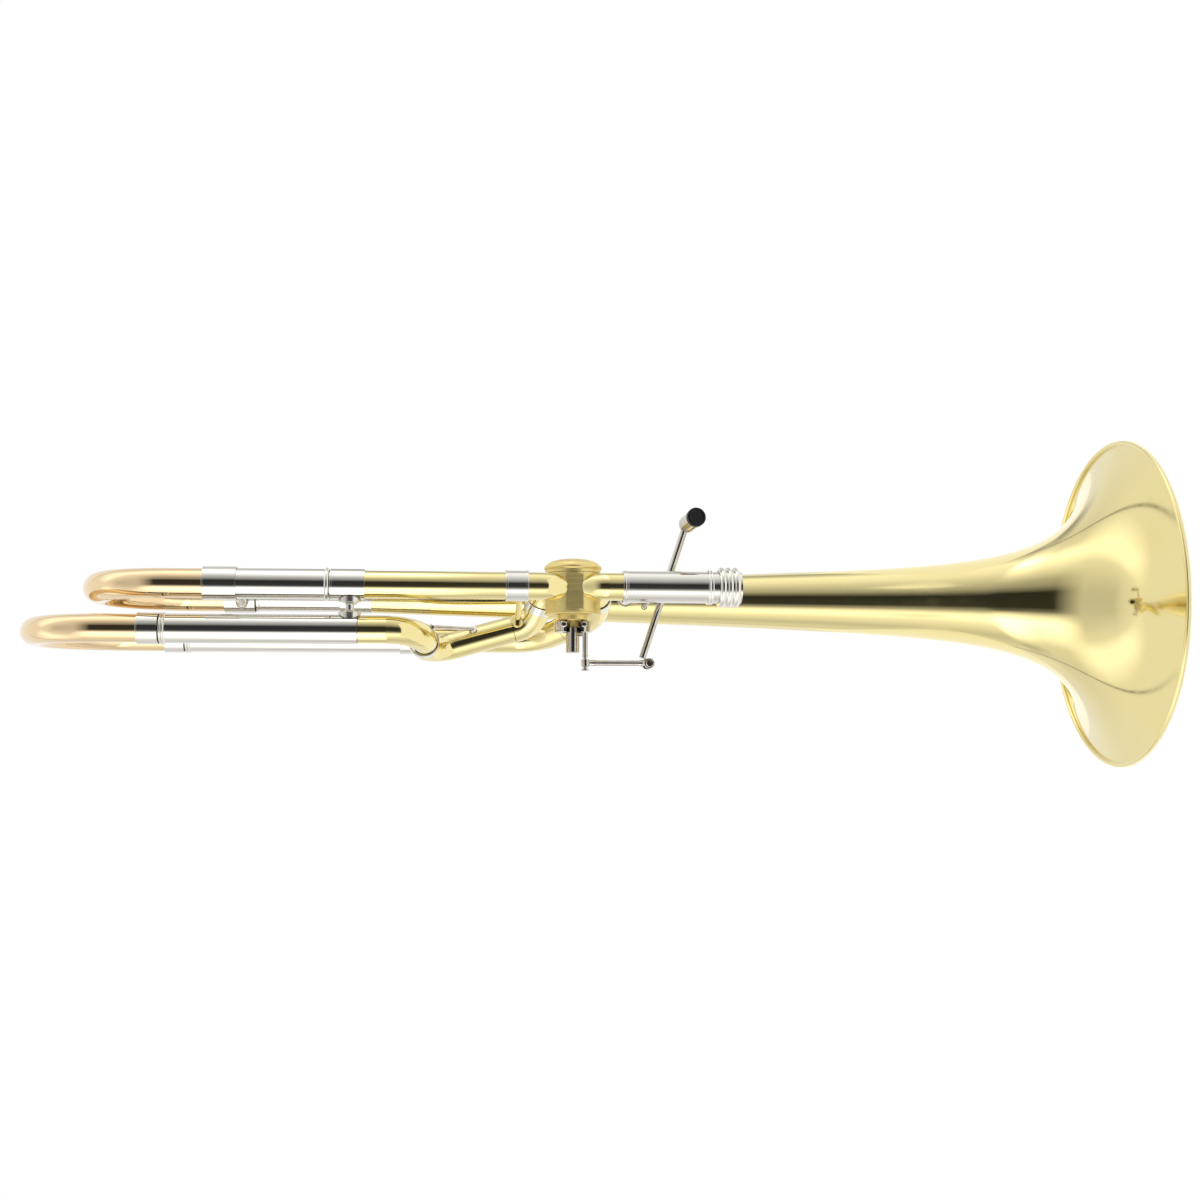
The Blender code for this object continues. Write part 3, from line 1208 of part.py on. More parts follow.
def fixed_braces():
    """Braces between the bell and the neck line, and the post down to the F tube."""
    cross_brace("receiver_brace", RECEIVER_BRACE_HEIGHT, 0, 0, RECEIVER_DIAMETER / 2,
                flare_radius(RECEIVER_BRACE_HEIGHT - BRACE_FLANGE_DIAMETER / 2),
                BRACE_ROD_DIAMETER, BRACE_FLANGE_DIAMETER)
    widest = max(NECK_TUBE_DIAMETER, MAIN_INNER_DIAMETER) / 2 + SLEEVE_REACH
    cross_brace("bell_brace", BELL_BRACE_HEIGHT, 0, 0, widest,
                FAR_OUTER_DIAMETER / 2 + SLEEVE_REACH, BRACE_ROD_DIAMETER,
                BRACE_FLANGE_DIAMETER)
    top = neck_point(DROP_POST_HEIGHT)
    low = neck_point(DROP_POST_HEIGHT, F_PLANE_DROP)
    tools = [room_for_line("drop_post_top", top, widest, DROP_FLANGE_DIAMETER),
             room_for_line("drop_post_low", low, F_OUTER_DIAMETER / 2, DROP_FLANGE_DIAMETER)]
    brace_between("f_drop_post", (top, widest), (low, F_OUTER_DIAMETER / 2), BRACE_ROD_DIAMETER,
                  DROP_FLANGE_DIAMETER, tools)


def f_wrap_braces():
    """Bracket from the neck line and stay from the far tube, both to the bent F tubing."""
    corners = f_upper_corners()
    radius = F_TUBE_DIAMETER / 2
    start, end, _ = straight_between(corners, UPPER_RADII, 2)
    near = neck_point(start.z)
    near_radius = NECK_TUBE_DIAMETER / 2 + SLEEVE_REACH
    bend = rounded_route([seam(corners, UPPER_RADII, 1)[0], corners[2], end], [UPPER_RADII[1]])
    brace_between("f_wrap_bracket", (near, near_radius), (start, radius), BRACKET_DIAMETER,
                  BRACKET_FLANGE_DIAMETER,
                  [room_for_line("bracket_near", near, near_radius, BRACKET_FLANGE_DIAMETER),
                   tube("bracket_bend", bend, radius + SEAT_GAP, 0, None, 2 * TUBE_SIDES)])
    elbow = rounded_route([seam(corners, UPPER_RADII, 3)[0], corners[4], corners[5]],
                          [UPPER_RADII[3]])
    cross = start + (end - start) * (STAY_HEIGHT - start.z) / (end.z - start.z)
    outside = radius + SEAT_GAP + STAY_FLANGE_THICKNESS
    ends = [(elbow[2], Vector((1, 0, -1)).normalized()), (cross, Vector((1, -1, 0)).normalized())]
    line = [point + way * (outside - STAY_FLANGE_THICKNESS / 2) for point, way in ends]
    stay = tube("f_wrap_stay", line, STAY_DIAMETER / 2, 0, nickel_silver(), SMALL_SIDES)
    for i, (point, way) in enumerate(ends):
        join(stay, plug(f"stay_flange_{i}", point + way * radius * 0.8, point + way * outside,
                        STAY_FLANGE_DIAMETER / 2))
    cut(stay, tube("stay_elbow", elbow, radius + SEAT_GAP, 0, None, 2 * TUBE_SIDES))
    cut(stay, plug("stay_cross", start, end, radius + SEAT_GAP, 2 * TUBE_SIDES))


def valve_body():
    """Everything that turns with the rotor."""
    parent_to(joint_empty("rotor", VALVE_CENTRE), rotor(), stop_arm())


def lever_body():
    """Everything that turns with the thumb lever."""
    lever = thumb_lever()
    thumb_piece()
    pieces = [bpy.data.objects[n] for n in ("thumb_barrel", "thumb_cap")]
    parent_to(joint_empty("lever", LEVER_PIVOT), lever, *pieces)
    parent_to(joint_empty("link", LEVER_BALL), link_rod())


def report_linkage():
    """Print the angles that couple the lever, the rotor and the link."""
    arm = LEVER_BALL - LEVER_PIVOT
    length = sqrt(arm.x ** 2 + arm.z ** 2)
    rest = asin(arm.z / length)
    pressed = asin((arm.z + 2 * CRANK_OFFSET) / length)
    sink = -arm.x - length * cos(pressed)
    link = CRANK_PIN.z - LEVER_BALL.z
    tilt = asin(sink / link)
    print("lever travel", round(degrees(pressed - rest), 3),
          "rotor ratio", round(ROTOR_TURN / (pressed - rest), 4),
          "link ratio", round(-1 - tilt / (pressed - rest), 4))


def clear_scene():
    for obj in list(bpy.data.objects):
        bpy.data.objects.remove(obj, do_unlink=True)


def main():
    clear_scene()
    bell_body()
    bell_rim_bead()
    bell_tail_ferrule()
    main_far_outer()
    main_near_fixed()
    neck_tubes()
    receiver()
    receiver_collar()
    neck_knuckles()
    valve_casing()
    bearing_plate()
    valve_cap()
    stop_housing()
    stop_bumpers()
    lever_saddle()
    pivot_screw()
    return_spring()
    f_upper_branch()
    f_lower_branch()
    f_outer_tubes()
    fixed_braces()
    f_wrap_braces()
    valve_body()
    lever_body()
    main_slide()
    f_slide()
    report_linkage()


main()
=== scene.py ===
"""Finished look of a tenor trombone's bell section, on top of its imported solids.

The frame is that of the solids: the part stands on the rim of its bell, +Z runs up the axis
of the bell, the neck line lies beside it at -Y, and +X is the side of the valve's screw cap.
Every turned or drawn piece is modelled again with round sides. Sizes are in metres.
"""

import json
from math import cos, pi, radians, sin, sqrt, tan

import bpy
from bpy.props import FloatProperty, FloatVectorProperty, PointerProperty
from mathutils import Matrix, Vector


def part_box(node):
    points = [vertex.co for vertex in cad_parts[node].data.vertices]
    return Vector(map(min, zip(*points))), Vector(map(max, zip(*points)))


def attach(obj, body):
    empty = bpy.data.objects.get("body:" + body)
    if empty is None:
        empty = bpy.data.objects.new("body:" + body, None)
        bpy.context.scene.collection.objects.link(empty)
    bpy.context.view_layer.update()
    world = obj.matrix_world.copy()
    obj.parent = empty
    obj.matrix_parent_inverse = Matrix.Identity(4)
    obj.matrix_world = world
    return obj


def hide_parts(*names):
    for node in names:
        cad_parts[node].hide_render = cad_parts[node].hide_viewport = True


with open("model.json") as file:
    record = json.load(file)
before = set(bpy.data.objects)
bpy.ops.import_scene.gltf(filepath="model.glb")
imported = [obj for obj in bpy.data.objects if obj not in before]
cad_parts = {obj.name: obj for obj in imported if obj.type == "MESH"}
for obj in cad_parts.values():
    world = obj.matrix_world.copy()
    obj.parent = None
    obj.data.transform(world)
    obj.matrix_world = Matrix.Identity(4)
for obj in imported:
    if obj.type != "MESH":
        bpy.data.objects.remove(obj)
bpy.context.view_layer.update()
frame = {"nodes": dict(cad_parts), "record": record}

bl_info = {
    "name": "Tenor trombone bell section",
    "version": (1, 0, 0),
    "blender": (4, 5, 0),
    "location": "View3D > Sidebar > Trombone",
    "description": "Models the round tubes, bell, valve and lever of a trombone's bell section",
    "category": "Add Mesh",
}

BODY_OF = {node: body for body, nodes in frame["record"]["behaviour"]["bodies"].items()
           for node in nodes}
SLOTS = {entry["node"]: entry["material_slot"] for entry in frame["record"]["subparts"]}
UP, ALONG_X, ALONG_Y = Vector((0, 0, 1)), Vector((1, 0, 0)), Vector((0, 1, 0))

# A radius that stands for none on a lathe's axis, the sides of tubes and of rods, and the
# steps of a bend
POLE, ROUND, SLIM, BEND = 0.00004, 64, 40, 12
# Sides of the bell, of the valve and of its stop housing
BELL_SIDES, VALVE_SIDES, HOUSING_SIDES = 160, 96, 72
# Radius of the receiver, and radii of rod and flange of the thin and the stout braces
RECEIVER, THIN_BRACE, STOUT_BRACE = 0.0094, (0.0018, 0.0039), (0.0025, 0.0055)
# How deep the knuckles start in the casing, and from the valve's axis to the F knuckles' bend
PORT_DEPTH, PORT_REACH = 0.004, 0.0220
# Half the width of the lever's hub, and from the pivot to the axis of the lever's rod
HALF_HUB, ROD_ASIDE = 0.0025, 0.0049
# Length of the thumb barrel's cap, and thickness of the saddle's plate
CAP_LONG, SADDLE_THICK = 0.0034, 0.0012
# The pin of the spring: from the pivot along X and Z, and its radius
PIN_X, PIN_Z, PIN_RADIUS = -0.0077, 0.0069, 0.0009
# Half the width of a screw's slot, and the clearance between neighbours in valve and lever
HALF_SLOT, CLEAR = 0.0003, 0.0003
# Length of the stop arm's hub and depth of its bore, and thickness of the ring over the hub
HUB_LONG, HUB_BORE, HUB_RING = 0.0150, 0.0113, 0.0029
# Strength of the floor's own glow, and of the even light that lit surfaces meet
FLOOR_GLOW, EVEN_LIGHT = 0.42, 0.8


def linear(text):
    """Linear colour of an sRGB hex value."""
    channels = [int(text[i:i + 2], 16) / 255 for i in (0, 2, 4)]
    return [c / 12.92 if c <= 0.04045 else ((c + 0.055) / 1.055) ** 2.4 for c in channels]


def length(name, description, default):
    """Property for a length that a user may change."""
    return FloatProperty(name=name, description=description, default=default, min=0,
                         precision=5, unit="LENGTH")


def colour(name, description, text):
    """Property for a colour, from its sRGB hex value."""
    return FloatVectorProperty(name=name, description=description, default=linear(text), size=3,
                               min=0, max=1, subtype="COLOR")


class BellSizes(bpy.types.PropertyGroup):
    """Sizes of the bell and its rim."""
    mouth: length("Mouth diameter", "Outer diameter of the rim", 0.2159)
    tail: length("Bell length", "Height of the tail above the mouth", 0.4900)
    cone: length("Cone diameter", "Diameter of the slender cone at the mouth", 0.04849)
    taper: FloatProperty(name="Cone taper", description="Loss of radius for each metre",
                         default=0.0305)
    reach: length("Flare reach", "Height over which the flare dies away", 0.1040)
    power: FloatProperty(name="Flare power", description="How suddenly the flare opens",
                         default=3.7245)
    wall: length("Sheet", "Thickness of the brass sheet", 0.0009)
    bead: length("Rim wire", "Diameter of the wire in the rim", 0.0030)


class TubeSizes(bpy.types.PropertyGroup):
    """Sizes that the slides, the neck line and the F wrap share."""
    wall: length("Wall", "Wall of a drawn tube or ferrule", 0.0006)
    gap: length("Seat gap", "Clearance of a tube in its ferrule", 0.0003)
    neck: length("Neck tube", "Outer diameter of the tube from the valve to the slide", 0.0163)
    wrap: length("F tube", "Outer diameter of the bent F tubing", 0.0164)
    spacing: length("Line spacing", "From the bell's axis to the neck line", 0.0940)
    drop: length("F plane", "From the plane of the bell and neck lines to that of the F slide",
                 0.0260)
    near_bow: length("Near end of the main bow", "Outer diameter of its near leg", 0.0171)
    far_bow: length("Far end of the main bow", "Outer diameter of its far leg", 0.0182)
    edge: length("Edge round", "Round on the edges of turned pieces", 0.00025)


class ValveSizes(bpy.types.PropertyGroup):
    """Sizes of the rotary valve and its stop work."""
    height: length("Height", "Height of the valve's axis above the mouth of the bell", 0.3685)
    setback: length("Setback", "From the neck line to the valve's axis", 0.0140)
    casing: length("Casing", "Outer diameter of the casing", 0.0326)
    bottom: length("Casing depth", "From the plane of the lines down to its foot", 0.0158)
    top: length("Casing height", "From the plane of the lines up to its shoulder", 0.0086)
    flat: length("Flat", "Width of the bare flat milled on the front of the casing", 0.0096)
    cap: length("Cap", "Outer diameter of the screw cap", 0.0340)
    housing: length("Stop housing", "Outer diameter of the ring with the bumpers", 0.0224)
    crank: length("Crank radius", "From the rotor's axis to the crank's pin", 0.0095)
    hub: length("Hub", "Diameter of the stop arm's hub", 0.0081)


class LeverSizes(bpy.types.PropertyGroup):
    """Sizes of the thumb lever and the link."""
    rod: length("Lever rod", "Diameter of the lever's rod", 0.0042)
    link: length("Link", "Diameter of the link's rod", 0.0038)
    drop: length("Link plane", "From the plane of the lines down to the link", 0.0445)
    barrel: length("Thumb barrel", "Diameter of the barrel under the thumb", 0.0106)
    wire: length("Spring wire", "Diameter of the return spring's wire", 0.0006)


class Finishes(bpy.types.PropertyGroup):
    """Colours of the metals, the cap and the bumpers."""
    yellow: colour("Yellow brass", "Lacquered yellow brass of bell and tubes", "EBDDA2")
    yellow_warm: colour("Yellow brass, warm", "Tone where the lacquer is thicker", "E6D593")
    rose: colour("Rose brass", "Lacquered rose brass of the two bows", "EDD6AA")
    rose_warm: colour("Rose brass, warm", "Tone where the lacquer is thicker", "EACB9C")
    satin: colour("Valve brass", "Brushed brass of the valve casing and cap", "EDD68C")
    nickel: colour("Nickel silver", "Polished nickel silver of slides and ferrules", "E6E4DD")
    nickel_warm: colour("Nickel silver, warm", "Tone of older polish", "DAD6CB")
    # Darker than the tubes' nickel: painted shade, standing in for the dark surroundings that the
    # lever, the link, the barrel and the stop work reflect
    fitting_painted_shade: colour("Fittings", "Nickel silver of the lever, the link and the stop work",
                    "B3A9A1")
    plastic: colour("Cap", "Moulded cap of the thumb barrel", "0E0B0F")
    rubber: colour("Bumpers", "Moulded rubber", "26262A")
    wire: colour("Spring wire", "Drawn spring steel", "48494E")


def select_only(obj):
    """Make obj the one selected and active object."""
    bpy.ops.object.select_all(action="DESELECT")
    obj.select_set(True)
    bpy.context.view_layer.objects.active = obj


def apply_modifiers(obj):
    select_only(obj)
    for modifier in list(obj.modifiers):
        bpy.ops.object.modifier_apply(modifier=modifier.name)


def settle(name):
    """Name the new primitive and put its place in its mesh."""
    obj = bpy.context.active_object
    obj.name = name
    bpy.ops.object.transform_apply(location=True, rotation=True, scale=True)
    return obj


def start_ring(name, centre, axis, radius, sides):
    """Open circle square to axis, left in edit mode with its edge selected."""
    bpy.ops.object.select_all(action="DESELECT")
    turn = UP.rotation_difference(axis).to_euler()
    bpy.ops.mesh.primitive_circle_add(vertices=sides, radius=radius, location=centre,
                                      rotation=turn)
    obj = settle(name)
    bpy.ops.object.mode_set(mode="EDIT")
    bpy.ops.mesh.select_all(action="SELECT")
    return obj


def advance(step):
    """Draw the selected ring out by a step."""
    bpy.ops.mesh.extrude_region_move(TRANSFORM_OT_translate={"value": tuple(step)})


def scale_ring(ratio, centre):
    bpy.ops.transform.resize(value=(ratio, ratio, ratio), center_override=tuple(centre))


def swing(centre, axis, angle, steps):
    """Draw the selected ring round a bend; spin turns the other way, so the angle is minus."""
    bpy.ops.mesh.spin(steps=steps, angle=-angle, center=tuple(centre), axis=tuple(axis))


def close_mesh(fill):
    """Merge, close the ends if asked, turn the faces out and leave edit mode."""
    bpy.ops.mesh.select_all(action="SELECT")
    bpy.ops.mesh.remove_doubles(threshold=0.000001)
    if fill:
        bpy.ops.mesh.select_all(action="SELECT")
        bpy.ops.mesh.fill_holes(sides=0)
        bpy.ops.mesh.select_all(action="SELECT")
    bpy.ops.mesh.normals_make_consistent(inside=False)
    bpy.ops.object.mode_set(mode="OBJECT")


def round_edges(obj, width, segments=2, angle=30):
    """Small round on every edge sharper than angle."""
    if width > 0:
        bevel = obj.modifiers.new("edge_round", "BEVEL")
        bevel.width = width
        bevel.segments = segments
        bevel.limit_method = "ANGLE"
        bevel.angle_limit = radians(angle)
        apply_modifiers(obj)
    return obj


def turned(name, profile, centre, axis=UP, sides=ROUND, edge=0):
    """Piece turned on a lathe from (radius, height) pairs, ring by ring."""
    axis = Vector(axis).normalized()
    centre = Vector(centre)
    hollow = min(r for r, _ in profile) > POLE
    stations = list(profile) + ([profile[0]] if hollow else [])
    radius, height = max(stations[0][0], POLE), stations[0][1]
    obj = start_ring(name, centre + axis * height, axis, radius, sides)
    for wide, high in stations[1:]:
        wide = max(wide, POLE)
        advance(axis * (high - height))
        if abs(wide - radius) > 1e-9:
            scale_ring(wide / radius, centre + axis * high)
        radius, height = wide, high
    close_mesh(not hollow)
    return round_edges(obj, edge)


def give_wall(obj, wall):
    """Thicken an open skin inwards."""
    solid = obj.modifiers.new("wall", "SOLIDIFY")
    solid.thickness = wall
    solid.offset = -1
    solid.use_even_offset = True
    apply_modifiers(obj)
    return obj


def bend_at(before, corner, after, radius):
    """Reach, centre, axis and angle of the bend that rounds a corner."""
    into = (corner - before).normalized()
    out = (after - corner).normalized()
    angle = into.angle(out)
    reach = radius * tan(angle / 2)
    centre = corner - into * reach + (out - into * into.dot(out)).normalized() * radius
    return reach, centre, into.cross(out).normalized(), angle


def drawn_tube(name, corners, bends, radius, wall, sides=ROUND):
    """Tube bent round its corners, as on a mandrel. A wall of 0 makes a solid rod."""
    way = (corners[1] - corners[0]).normalized()
    obj = start_ring(name, corners[0], way, radius, sides)
    here = corners[0]
    for i, bend in enumerate(bends, start=1):
        reach, centre, axis, angle = bend_at(corners[i - 1], corners[i], corners[i + 1], bend)
        start = corners[i] - (corners[i] - corners[i - 1]).normalized() * reach
        advance(start - here)
        swing(centre, axis, angle, BEND)
        here = corners[i] + (corners[i + 1] - corners[i]).normalized() * reach
    advance(corners[-1] - here)
    close_mesh(wall == 0)
    return give_wall(obj, wall) if wall else obj


def rod(name, start, end, radius, sides=SLIM, edge=0.00012):
    """Turned rod between two points."""
    start, end = Vector(start), Vector(end)
    bpy.ops.object.select_all(action="DESELECT")
    bpy.ops.mesh.primitive_cylinder_add(
        vertices=sides, radius=radius, depth=(end - start).length, location=(start + end) / 2,
        rotation=UP.rotation_difference((end - start).normalized()).to_euler())
    return round_edges(settle(name), edge)


def through(name, centre, half, radius, sides=SLIM, edge=0.0):
    """Rod that reaches as far as half on both sides of a point."""
    return rod(name, centre - half, centre + half, radius, sides, edge)


def block(name, low, high, edge=0.0002, turn=0, pivot=None):
    """Milled block between two corners, turned about X through pivot."""
    low, high = Vector(low), Vector(high)
    bpy.ops.object.select_all(action="DESELECT")
    bpy.ops.mesh.primitive_cube_add(size=1, location=(low + high) / 2)
    bpy.context.active_object.scale = high - low
    obj = settle(name)
    if turn:
        bpy.ops.transform.rotate(value=-turn, orient_axis="X", center_override=tuple(pivot))
        settle(name)
    return round_edges(obj, edge)


def combine(obj, operation, *tools):
    """Braze tools on to obj, or cut them out of it."""
    for tool in tools:
        modifier = obj.modifiers.new("join", "BOOLEAN")
        modifier.operation = operation
        modifier.solver = "EXACT"
        modifier.object = tool
        apply_modifiers(obj)
        bpy.data.objects.remove(tool, do_unlink=True)
    return obj


def add_node(tree, kind, inputs=None, **settings):
    """Add a node with its settings; an input takes a number, a colour or another socket."""
    node = tree.nodes.new(kind)
    for key, value in settings.items():
        setattr(node, key, value)
    for key, value in (inputs or {}).items():
        if isinstance(value, bpy.types.NodeSocket):
            tree.links.new(value, node.inputs[key])
        else:
            node.inputs[key].default_value = value
    return node


def maths(tree, operation, *values):
    """Result of a maths node."""
    return add_node(tree, "ShaderNodeMath", dict(enumerate(values)),
                    operation=operation).outputs[0]


def ranged(tree, value, before, after=(0, 1)):
    """Value carried from one pair of limits to another, and held between them."""
    return add_node(tree, "ShaderNodeMapRange",
                    {"Value": value, "From Min": before[0], "From Max": before[1],
                     "To Min": after[0], "To Max": after[1]}).outputs["Result"]


def two_tones(tree, amount, first, second):
    """Colour between two tones."""
    return add_node(tree, "ShaderNodeMix", {0: amount, 6: (*first, 1), 7: (*second, 1)},
                    data_type="RGBA").outputs[2]


def new_material(name):
    mat = bpy.data.materials.new(name)
    mat.use_nodes = True
    tree = mat.node_tree
    return mat, tree, tree.nodes["Principled BSDF"]


def placed(tree, scale, location=(0, 0, 0)):
    """Object coordinates, one unit for each size in millimetres given by scale."""
    coords = add_node(tree, "ShaderNodeTexCoord")
    per_metre = tuple(1000 / s for s in scale)
    shift = tuple(-c * p for c, p in zip(location, per_metre))
    return add_node(tree, "ShaderNodeMapping", {"Vector": coords.outputs["Object"],
                                                "Scale": per_metre, "Location": shift})


def metal(name, main, warm, roughness, grain, cloud, depth, coat, centre=(0, 0, 0)):
    """A polished metal: slow change of tone, fine polishing lines and an uneven polish.

    grain and cloud are sizes in millimetres along X, Y and Z; roughness is its least and most.
    """
    mat, tree, shader = new_material(name)
    clouds = add_node(tree, "ShaderNodeTexNoise",
                      {"Vector": placed(tree, cloud).outputs[0], "Scale": 1.0, "Detail": 3.0})
    tone = two_tones(tree, clouds.outputs["Fac"], main, warm)
    tree.links.new(tone, shader.inputs["Base Color"])
    lines = add_node(tree, "ShaderNodeTexNoise",
                     {"Vector": placed(tree, grain, centre).outputs[0], "Scale": 1.0,
                      "Detail": 4.0, "Roughness": 0.6})
    polish = ranged(tree, lines.outputs["Fac"], (0.3, 0.7), roughness)
    tree.links.new(polish, shader.inputs["Roughness"])
    bump = add_node(tree, "ShaderNodeBump", {"Height": lines.outputs["Fac"], "Strength": 0.35,
                                             "Distance": depth})
    tree.links.new(bump.outputs["Normal"], shader.inputs["Normal"])
    shader.inputs["Metallic"].default_value = 1.0
    shader.inputs["Coat Weight"].default_value = coat
    shader.inputs["Coat Roughness"].default_value = 0.05
    return mat


def moulded(name, base, roughness, grain, depth):
    """A moulded plastic or rubber with the fine grain of its mould."""
    mat, tree, shader = new_material(name)
    shader.inputs["Specular IOR Level"].default_value = 0.25
    skin = add_node(tree, "ShaderNodeTexNoise", {"Vector": placed(tree, (grain,) * 3).outputs[0],
                                                 "Scale": 1.0, "Detail": 5.0})
    tone = two_tones(tree, skin.outputs["Fac"], [0.8 * c for c in base],
                     [1.2 * c for c in base])
    tree.links.new(tone, shader.inputs["Base Color"])
    gloss = ranged(tree, skin.outputs["Fac"], (0, 1), roughness)
    bump = add_node(tree, "ShaderNodeBump", {"Height": skin.outputs["Fac"], "Strength": 0.5,
                                             "Distance": depth})
    tree.links.new(gloss, shader.inputs["Roughness"])
    tree.links.new(bump.outputs["Normal"], shader.inputs["Normal"])
    return mat


def material(finish):
    """The material of a finish, made once."""
    made = bpy.data.materials.get(finish)
    if made:
        return made
    tones = bpy.context.scene.trombone_finishes
    # Drawn yellow brass under clear lacquer: mirror bright, with a faint hand-buffed waviness
    if finish == "lacquered_yellow_brass":
        return metal(finish, tones.yellow, tones.yellow_warm, (0.045, 0.10), (4, 4, 14),
                     (30, 30, 60), 0.000004, 0.4)
    # Rose brass has more copper, so it is warmer; the same lacquer over the same buffing
    if finish == "lacquered_rose_brass":
        return metal(finish, tones.rose, tones.rose_warm, (0.045, 0.10), (4, 4, 14),
                     (25, 25, 40), 0.000004, 0.4)
    # Turned valve brass, brushed round its axis to a satin. The real lines are some 0.1 mm
    # apart and are drawn 0.8 mm apart, so that they show
    if finish == "brushed_valve_brass":
        return metal(finish, tones.satin, tones.yellow_warm, (0.38, 0.50), (0.8, 20, 20),
                     (8, 14, 14), 0.000002, 0.0,
                     (0, -bpy.context.scene.trombone_tubes.spacing, 0))
    # Drawn nickel silver, polished along the tube, which leaves long faint lines
    if finish == "polished_nickel_silver":
        return metal(finish, tones.nickel, tones.nickel_warm, (0.05, 0.12), (1.2, 1.2, 40),
                     (20, 20, 50), 0.000003, 0.0)
    # Small nickel pieces are tumbled bright, with no direction. Their base is the darker fittings'
    # nickel: painted shade, standing in for the dark surroundings they reflect
    if finish == "tumbled_nickel_silver_painted_shade":
        return metal(finish, tones.fitting_painted_shade, tones.nickel_warm, (0.07, 0.15), (1.0, 1.0, 1.0),
                     (6, 6, 6), 0.000003, 0.0)
    # Braces are sand-cast and only buffed, so they reflect more softly than the turned pieces
    if finish == "cast_nickel_silver":
        return metal(finish, tones.nickel, tones.nickel_warm, (0.22, 0.34), (0.9, 0.9, 0.9),
                     (6, 6, 6), 0.000006, 0.0)
    # Hard-drawn spring steel wire: dark from its heat treatment, brighter where it was drawn
    if finish == "drawn_spring_steel":
        return metal(finish, tones.wire, [1.5 * c for c in tones.wire], (0.16, 0.28),
                     (0.4, 0.4, 0.4), (2, 2, 2), 0.000003, 0.0)
    # Moulded cap: satin, with a fine grain that softens its one highlight
    if finish == "moulded_black_plastic":
        return moulded(finish, tones.plastic, (0.30, 0.42), 0.35, 0.00002)
    # Moulded rubber: matt and slightly dusty
    return moulded("moulded_rubber", tones.rubber, (0.68, 0.85), 0.5, 0.00003)


FINISH_OF_SLOT = {"yellow_brass": "lacquered_yellow_brass", "rose_brass": "lacquered_rose_brass",
                  "nickel_silver": "polished_nickel_silver", "spring_steel": "drawn_spring_steel",
                  "black_plastic": "moulded_black_plastic", "rubber": "moulded_rubber"}


def hand_over(obj, node, finish=None):
    """Smooth a finished piece, give it its material and let it stand for its node."""
    select_only(obj)
    bpy.ops.object.shade_smooth_by_angle(angle=radians(35))
    weighted = obj.modifiers.new("weighted_normal", "WEIGHTED_NORMAL")
    weighted.keep_sharp = True
    weighted.weight = 80
    apply_modifiers(obj)
    obj.data.materials.clear()
    obj.data.materials.append(material(finish or FINISH_OF_SLOT[SLOTS[node]]))
    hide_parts(node)
    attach(obj, BODY_OF[node])
    return obj


def at_neck(height, drop=0):
    return Vector((-drop, -bpy.context.scene.trombone_tubes.spacing, height))


def at_bell(height, drop=0):
    return Vector((-drop, 0, height))


def upright(node):
    """Axis point, foot, top and outer radius of a node that is turned about a line along Z."""
    low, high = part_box(node)
    middle = (low + high) / 2
    return Vector((middle.x, middle.y, 0)), low.z, high.z, (high.y - low.y) / 2


def middle_of(node):
    """Middle of a node's box along X and Z."""
    low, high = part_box(node)
    return (low.x + high.x) / 2, (low.z + high.z) / 2


def bell_radius(height):
    """Outer radius of the bell at a height above its mouth."""
    bell = bpy.context.scene.trombone_bell
    flare = (bell.mouth - bell.cone) / 2 * (1 + height / bell.reach) ** -bell.power
    return bell.cone / 2 - bell.taper * height + flare


def sleeve(node, bands=()):
    """Ferrule round an upright tube, with raised or sunk bands of (start, end, height)."""
    tubes = bpy.context.scene.trombone_tubes
    centre, foot, top, outer = upright(node)
    inner = outer - tubes.wall
    profile = [(inner, foot), (outer, foot)]
    for start, end, rise in bands:
        profile += [(outer, foot + start), (outer + rise, foot + start),
                    (outer + rise, foot + end), (outer, foot + end)]
    profile += [(outer, top), (inner, top)]
    return hand_over(turned(node + "_turned", profile, centre, edge=0.00006), node)


def slide_tube(node, ring_at_top=None, ring=0, outer=None, beads=1):
    """Straight slide tube, with a rolled ring of one or more beads at its mouth if it has one."""
    tubes = bpy.context.scene.trombone_tubes
    centre, foot, top, wide = upright(node)
    outer = outer or wide
    inner = outer - tubes.wall
    if ring_at_top is None:
        profile = [(inner, foot), (outer, foot), (outer, top), (inner, top)]
    else:
        bead = (ring - 0.0003) / beads
        steps = [(outer + (wide - outer) * sin(pi * k / 8) ** 0.6, bead * (i + k / 8))
                 for i in range(beads) for k in range(9)]
        steps += [(inner + 0.0002, ring), (inner, ring)]
        if ring_at_top:
            profile = [(inner, foot), (outer, foot)]
            profile += [(r, top - ring + z) for r, z in steps]
        else:
            profile = [(inner, top), (outer, top)]
            profile += [(r, foot + ring - z) for r, z in steps]
    return hand_over(turned(node + "_drawn", profile, centre, edge=0.00008), node)


def brace(node, start, end, rod_radius, flange):
    """Cast brace: a rod that swells into a round flange at each end.

    start and end are each a point on a tube's axis and that tube's outer radius.
    """
    way = (end[0] - start[0]).normalized()
    span = (end[0] - start[0]).length - start[1] - end[1]
    foot = start[0] + way * start[1]
    thick = 0.0012
    swell = min(span * 0.2, flange - rod_radius)
    profile = [(POLE, -flange * 0.5), (flange, -flange * 0.5), (flange, thick)]
    profile += [(rod_radius + (flange * 0.75 - rod_radius) * (1 - i / 6) ** 2,
                 thick + swell * i / 6) for i in range(7)]
    profile += [(r, span - z) for r, z in reversed(profile)]
    obj = turned(node + "_cast", profile, foot, way, SLIM, 0.00015)
    gap = bpy.context.scene.trombone_tubes.gap
    for i, (point, radius) in enumerate((start, end)):
        combine(obj, "DIFFERENCE", through(f"{node}_room_{i}", point, UP * 2.5 * flange,
                                           radius + gap, ROUND))
    return hand_over(obj, node, "cast_nickel_silver")


